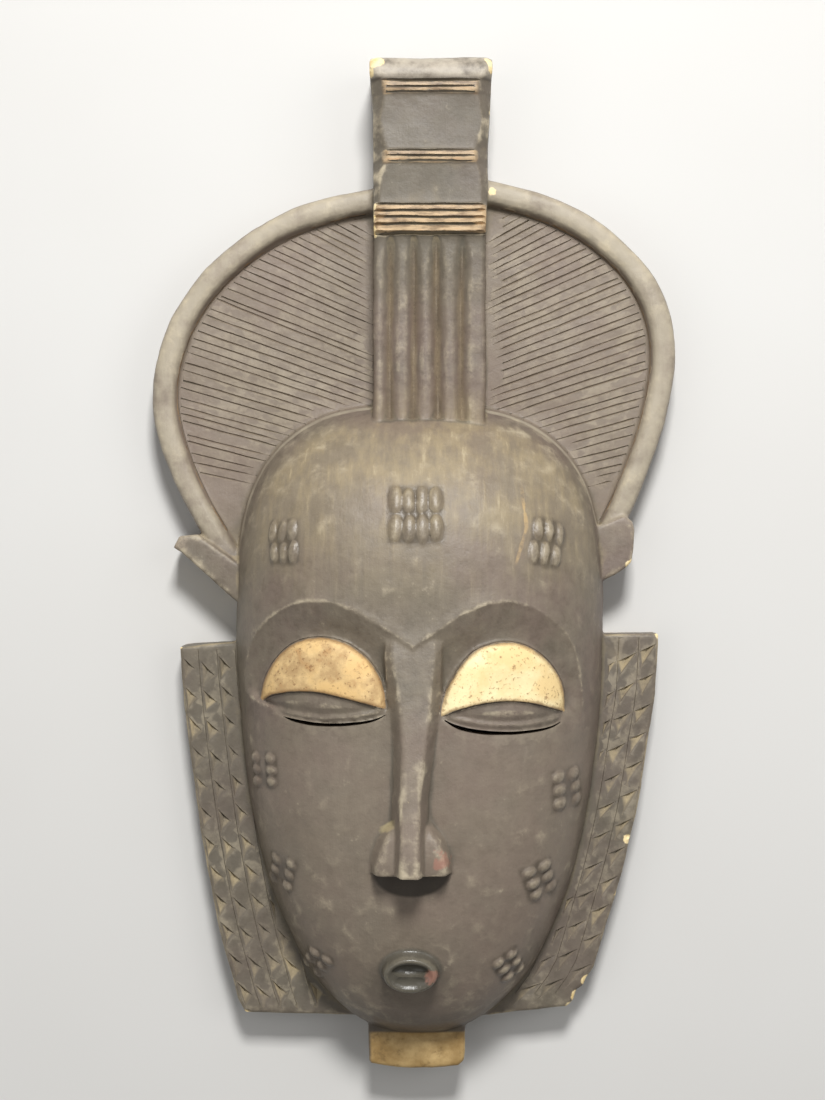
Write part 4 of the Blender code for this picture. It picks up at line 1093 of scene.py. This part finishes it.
# Painted shadow on the upper lip, under the nose.
shadow_under_nose = rising(away(-1.2, -136.6, tall=2.4), 340.0, 250.0)
colour = over(colour, (shadow_under_nose * rising(y_mm, -136.4, -137.4) * 0.82, (42, 35, 27)))
red_mouth = rising(away(8.0, -184.6) + 60.0 * grit, 16.0, 6.0)
red_nose = rising(away(12.4, -129.6, wide=2.0) + 160.0 * grit, 30.0, 8.0)
colour = over(colour, ((red_mouth + red_nose) * 0.45, (176, 118, 100)))
tan_nose = rising(abs(x_mm + 12.4 - 0.9 * (y_mm + 116.0)) + abs(y_mm + 115.6) + 7.0 * grit, 4.4, 2.0)
colour = over(colour, (tan_nose * 0.5, (182, 166, 124)))
temple = rising(abs(x_mm - 50.6 - 0.085 * (y_mm - 18.0) + 0.205 * abs(y_mm - 18.0)) + 3.0 * grit, 1.1, 0.4)
temple = temple * rising(abs(y_mm - 19.0), 19.0, 14.0) * rising(z_mm, 30.0, 40.0)
colour = over(colour, (temple * rising(patches + 0.5 * mottle, 0.60, 0.80) * 0.6, (190, 160, 112)))

# Rings and bands of the column: the paint is rubbed to tan on their ridges.
on_column = rising(abs(x_mm - 7.4), 28.5, 27.5) * rising(z_mm, 42.2, 43.2)
pair_one = rising(y_mm, 216.6, 217.8) * rising(y_mm, 224.4, 223.6)
pair_two = rising(y_mm, 184.6, 186.2) * rising(y_mm, 192.0, 191.2)
bands = rising(y_mm, 153.2, 154.0) * rising(y_mm, 166.9, 166.1)
on_panel = rising(abs(x_mm - 7.6) + 3.0 * grit, 23.4, 20.0)
rings = on_column * ((pair_one + pair_two) * on_panel * 0.8 + bands)
along = grain(1.0, 4.0, stretch=(70.0, 520.0, 200.0), roughness=0.6)
ring_tone = over(
    (116, 92, 66),
    (rising(along + 0.4 * mottle, 0.50, 0.82), (192, 164, 126)),
    (rising(along + 0.5 * patches, 0.86, 1.0) * 0.6, (198, 150, 104)),
)
colour = over(colour, (rings * rising(wear + 0.16 * (mottle - 0.35), -0.02, 0.12) * 0.9, ring_tone))
# The cap is paler on top: grey scuffs, and painted light where it faces the lamp.
cap = rising(y_mm, 224.5, 226.0) * rising(z_mm, 30.0, 36.0)
colour = over(colour, (cap * rising(patches + 0.6 * mottle, 0.52, 0.86) * 0.62, (188, 178, 162)))

# Bare wood where splinters came off, the tan tab, cream lids and the hidden side.
wood = over((214, 186, 128), (rising(mottle, 0.35, 0.65), (236, 218, 172)))
colour = over(colour, (rising(bare + 3.0 * grit + 2.0 * (patches - 0.5), -0.25, 0.35), wood))
tab = rising(y_mm, -218.0, -219.5) * rising(z_mm, 28.5, 27.5) * rising(x_mm + 3.0 * grit, -21.5, -19.5)
tab_tone = over(
    (142, 114, 68),
    (rising(patches + 0.3 * mottle, 0.52, 0.82), (186, 158, 108)),
    (rising(mottle + 0.3 * specks, 0.60, 0.44) * 0.5, (104, 82, 48)),
    (rising(z_mm, 25.6, 24.0) * 0.6, (206, 180, 130)),
)
colour = over(colour, (tab * rising(z_mm, 14.0, 20.0), tab_tone))
cream = over((226, 198, 142), (rising(patches, 0.38, 0.60), (238, 220, 172)))
left_lid = rising(x_mm, 0.0, -2.0)
cream = over(
    cream,
    (left_lid * 0.55, (202, 158, 96)),
    (left_lid * rising(patches + 0.5 * mottle, 0.66, 0.90) * 0.65, (150, 116, 76)),
    (rising(mottle + 0.3 * patches, 0.70, 0.88) * 0.4, (190, 142, 88)),
    (rising(specks + 0.3 * mottle, 0.72, 0.84) * 0.6, (120, 84, 50)),
    (rising(lid + 4.0 * grit + 2.0 * (specks - 0.5), 2.0, 0.2) * 0.7, (128, 94, 58)),
)
colour = over(colour, (rising(lid + 1.2 * grit, 0.0, 0.45), cream))
old_wood = over(
    (96, 74, 52),
    (rising(streaks, 0.35, 0.65), (142, 114, 80)),
    (rising(patches, 0.45, 0.75) * 0.6, (74, 58, 44)),
)
colour = over(colour, (rising(hidden, -0.2, 0.3), old_wood))
Paint.links.new(colour.socket, shader.inputs["Base Color"])

# The paint keeps a dull sheen; dust, bare wood and lids are matt. Brush marks and pits show.
matt = rising(lid, 0.0, 0.4) * 0.22 + rising(bare, 0.0, 0.5) * 0.2 + dust * 0.15
matt = matt - mouth_ring * 0.24 - scar * 0.12
rough = 0.40 + 0.16 * patches + 0.10 * mottle + matt
Paint.links.new(rough.socket, shader.inputs["Roughness"])
shader.inputs["Specular IOR Level"].default_value = 0.45
relief = mottle * 0.5 + specks * 0.22 + streaks * 0.35
bump = Paint.node("ShaderNodeBump", {}, {"Strength": 0.75, "Distance": 0.0007, "Height": relief})
Paint.links.new(bump.socket, shader.inputs["Normal"])
mask.data.materials.clear()
mask.data.materials.append(finish)

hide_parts("mask")
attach(mask, "root")


# Floor and light: a plain pale floor and large soft lights, the main one beyond the crest.
floor_mesh = bpy.data.meshes.new("floor")
floor_shape = bmesh.new()
bmesh.ops.create_grid(floor_shape, x_segments=1, y_segments=1, size=3.0)
floor_shape.to_mesh(floor_mesh)
floor_shape.free()
floor = placed("floor", floor_mesh)

pale = bpy.data.materials.new("pale_floor")
pale.use_nodes = True
Paint.nodes, Paint.links = pale.node_tree.nodes, pale.node_tree.links
here = Paint.node("ShaderNodeTexCoord", {}, {}, 3)
floor_tone = over((198, 196, 192), (grain(6.0, 2.0), (204, 203, 200)))
Paint.links.new(floor_tone.socket, Paint.nodes["Principled BSDF"].inputs["Base Color"])
Paint.nodes["Principled BSDF"].inputs["Roughness"].default_value = 0.8
floor_mesh.materials.append(pale)

LIGHTS = [("key", (0.08, 0.90, 1.18), 0.30, 26.0), ("fill", (-0.9, -0.2, 1.3), 1.2, 4.0),
          ("side", (1.0, 0.2, 1.2), 0.9, 4.5)]
for name, place, size, power in LIGHTS:
    lamp = bpy.data.lights.new(name, "AREA")
    lamp.size = size
    lamp.energy = power
    light = placed(name, lamp)
    light.location = place
    light.rotation_euler = Vector(place).to_track_quat("Z", "Y").to_euler()
world = bpy.data.worlds.new("studio")
world.use_nodes = True
world.node_tree.nodes["Background"].inputs["Color"].default_value = (1.0, 1.0, 1.0, 1.0)
world.node_tree.nodes["Background"].inputs["Strength"].default_value = 0.23
bpy.context.scene.world = world
bpy.context.scene.view_settings.view_transform = "Standard"
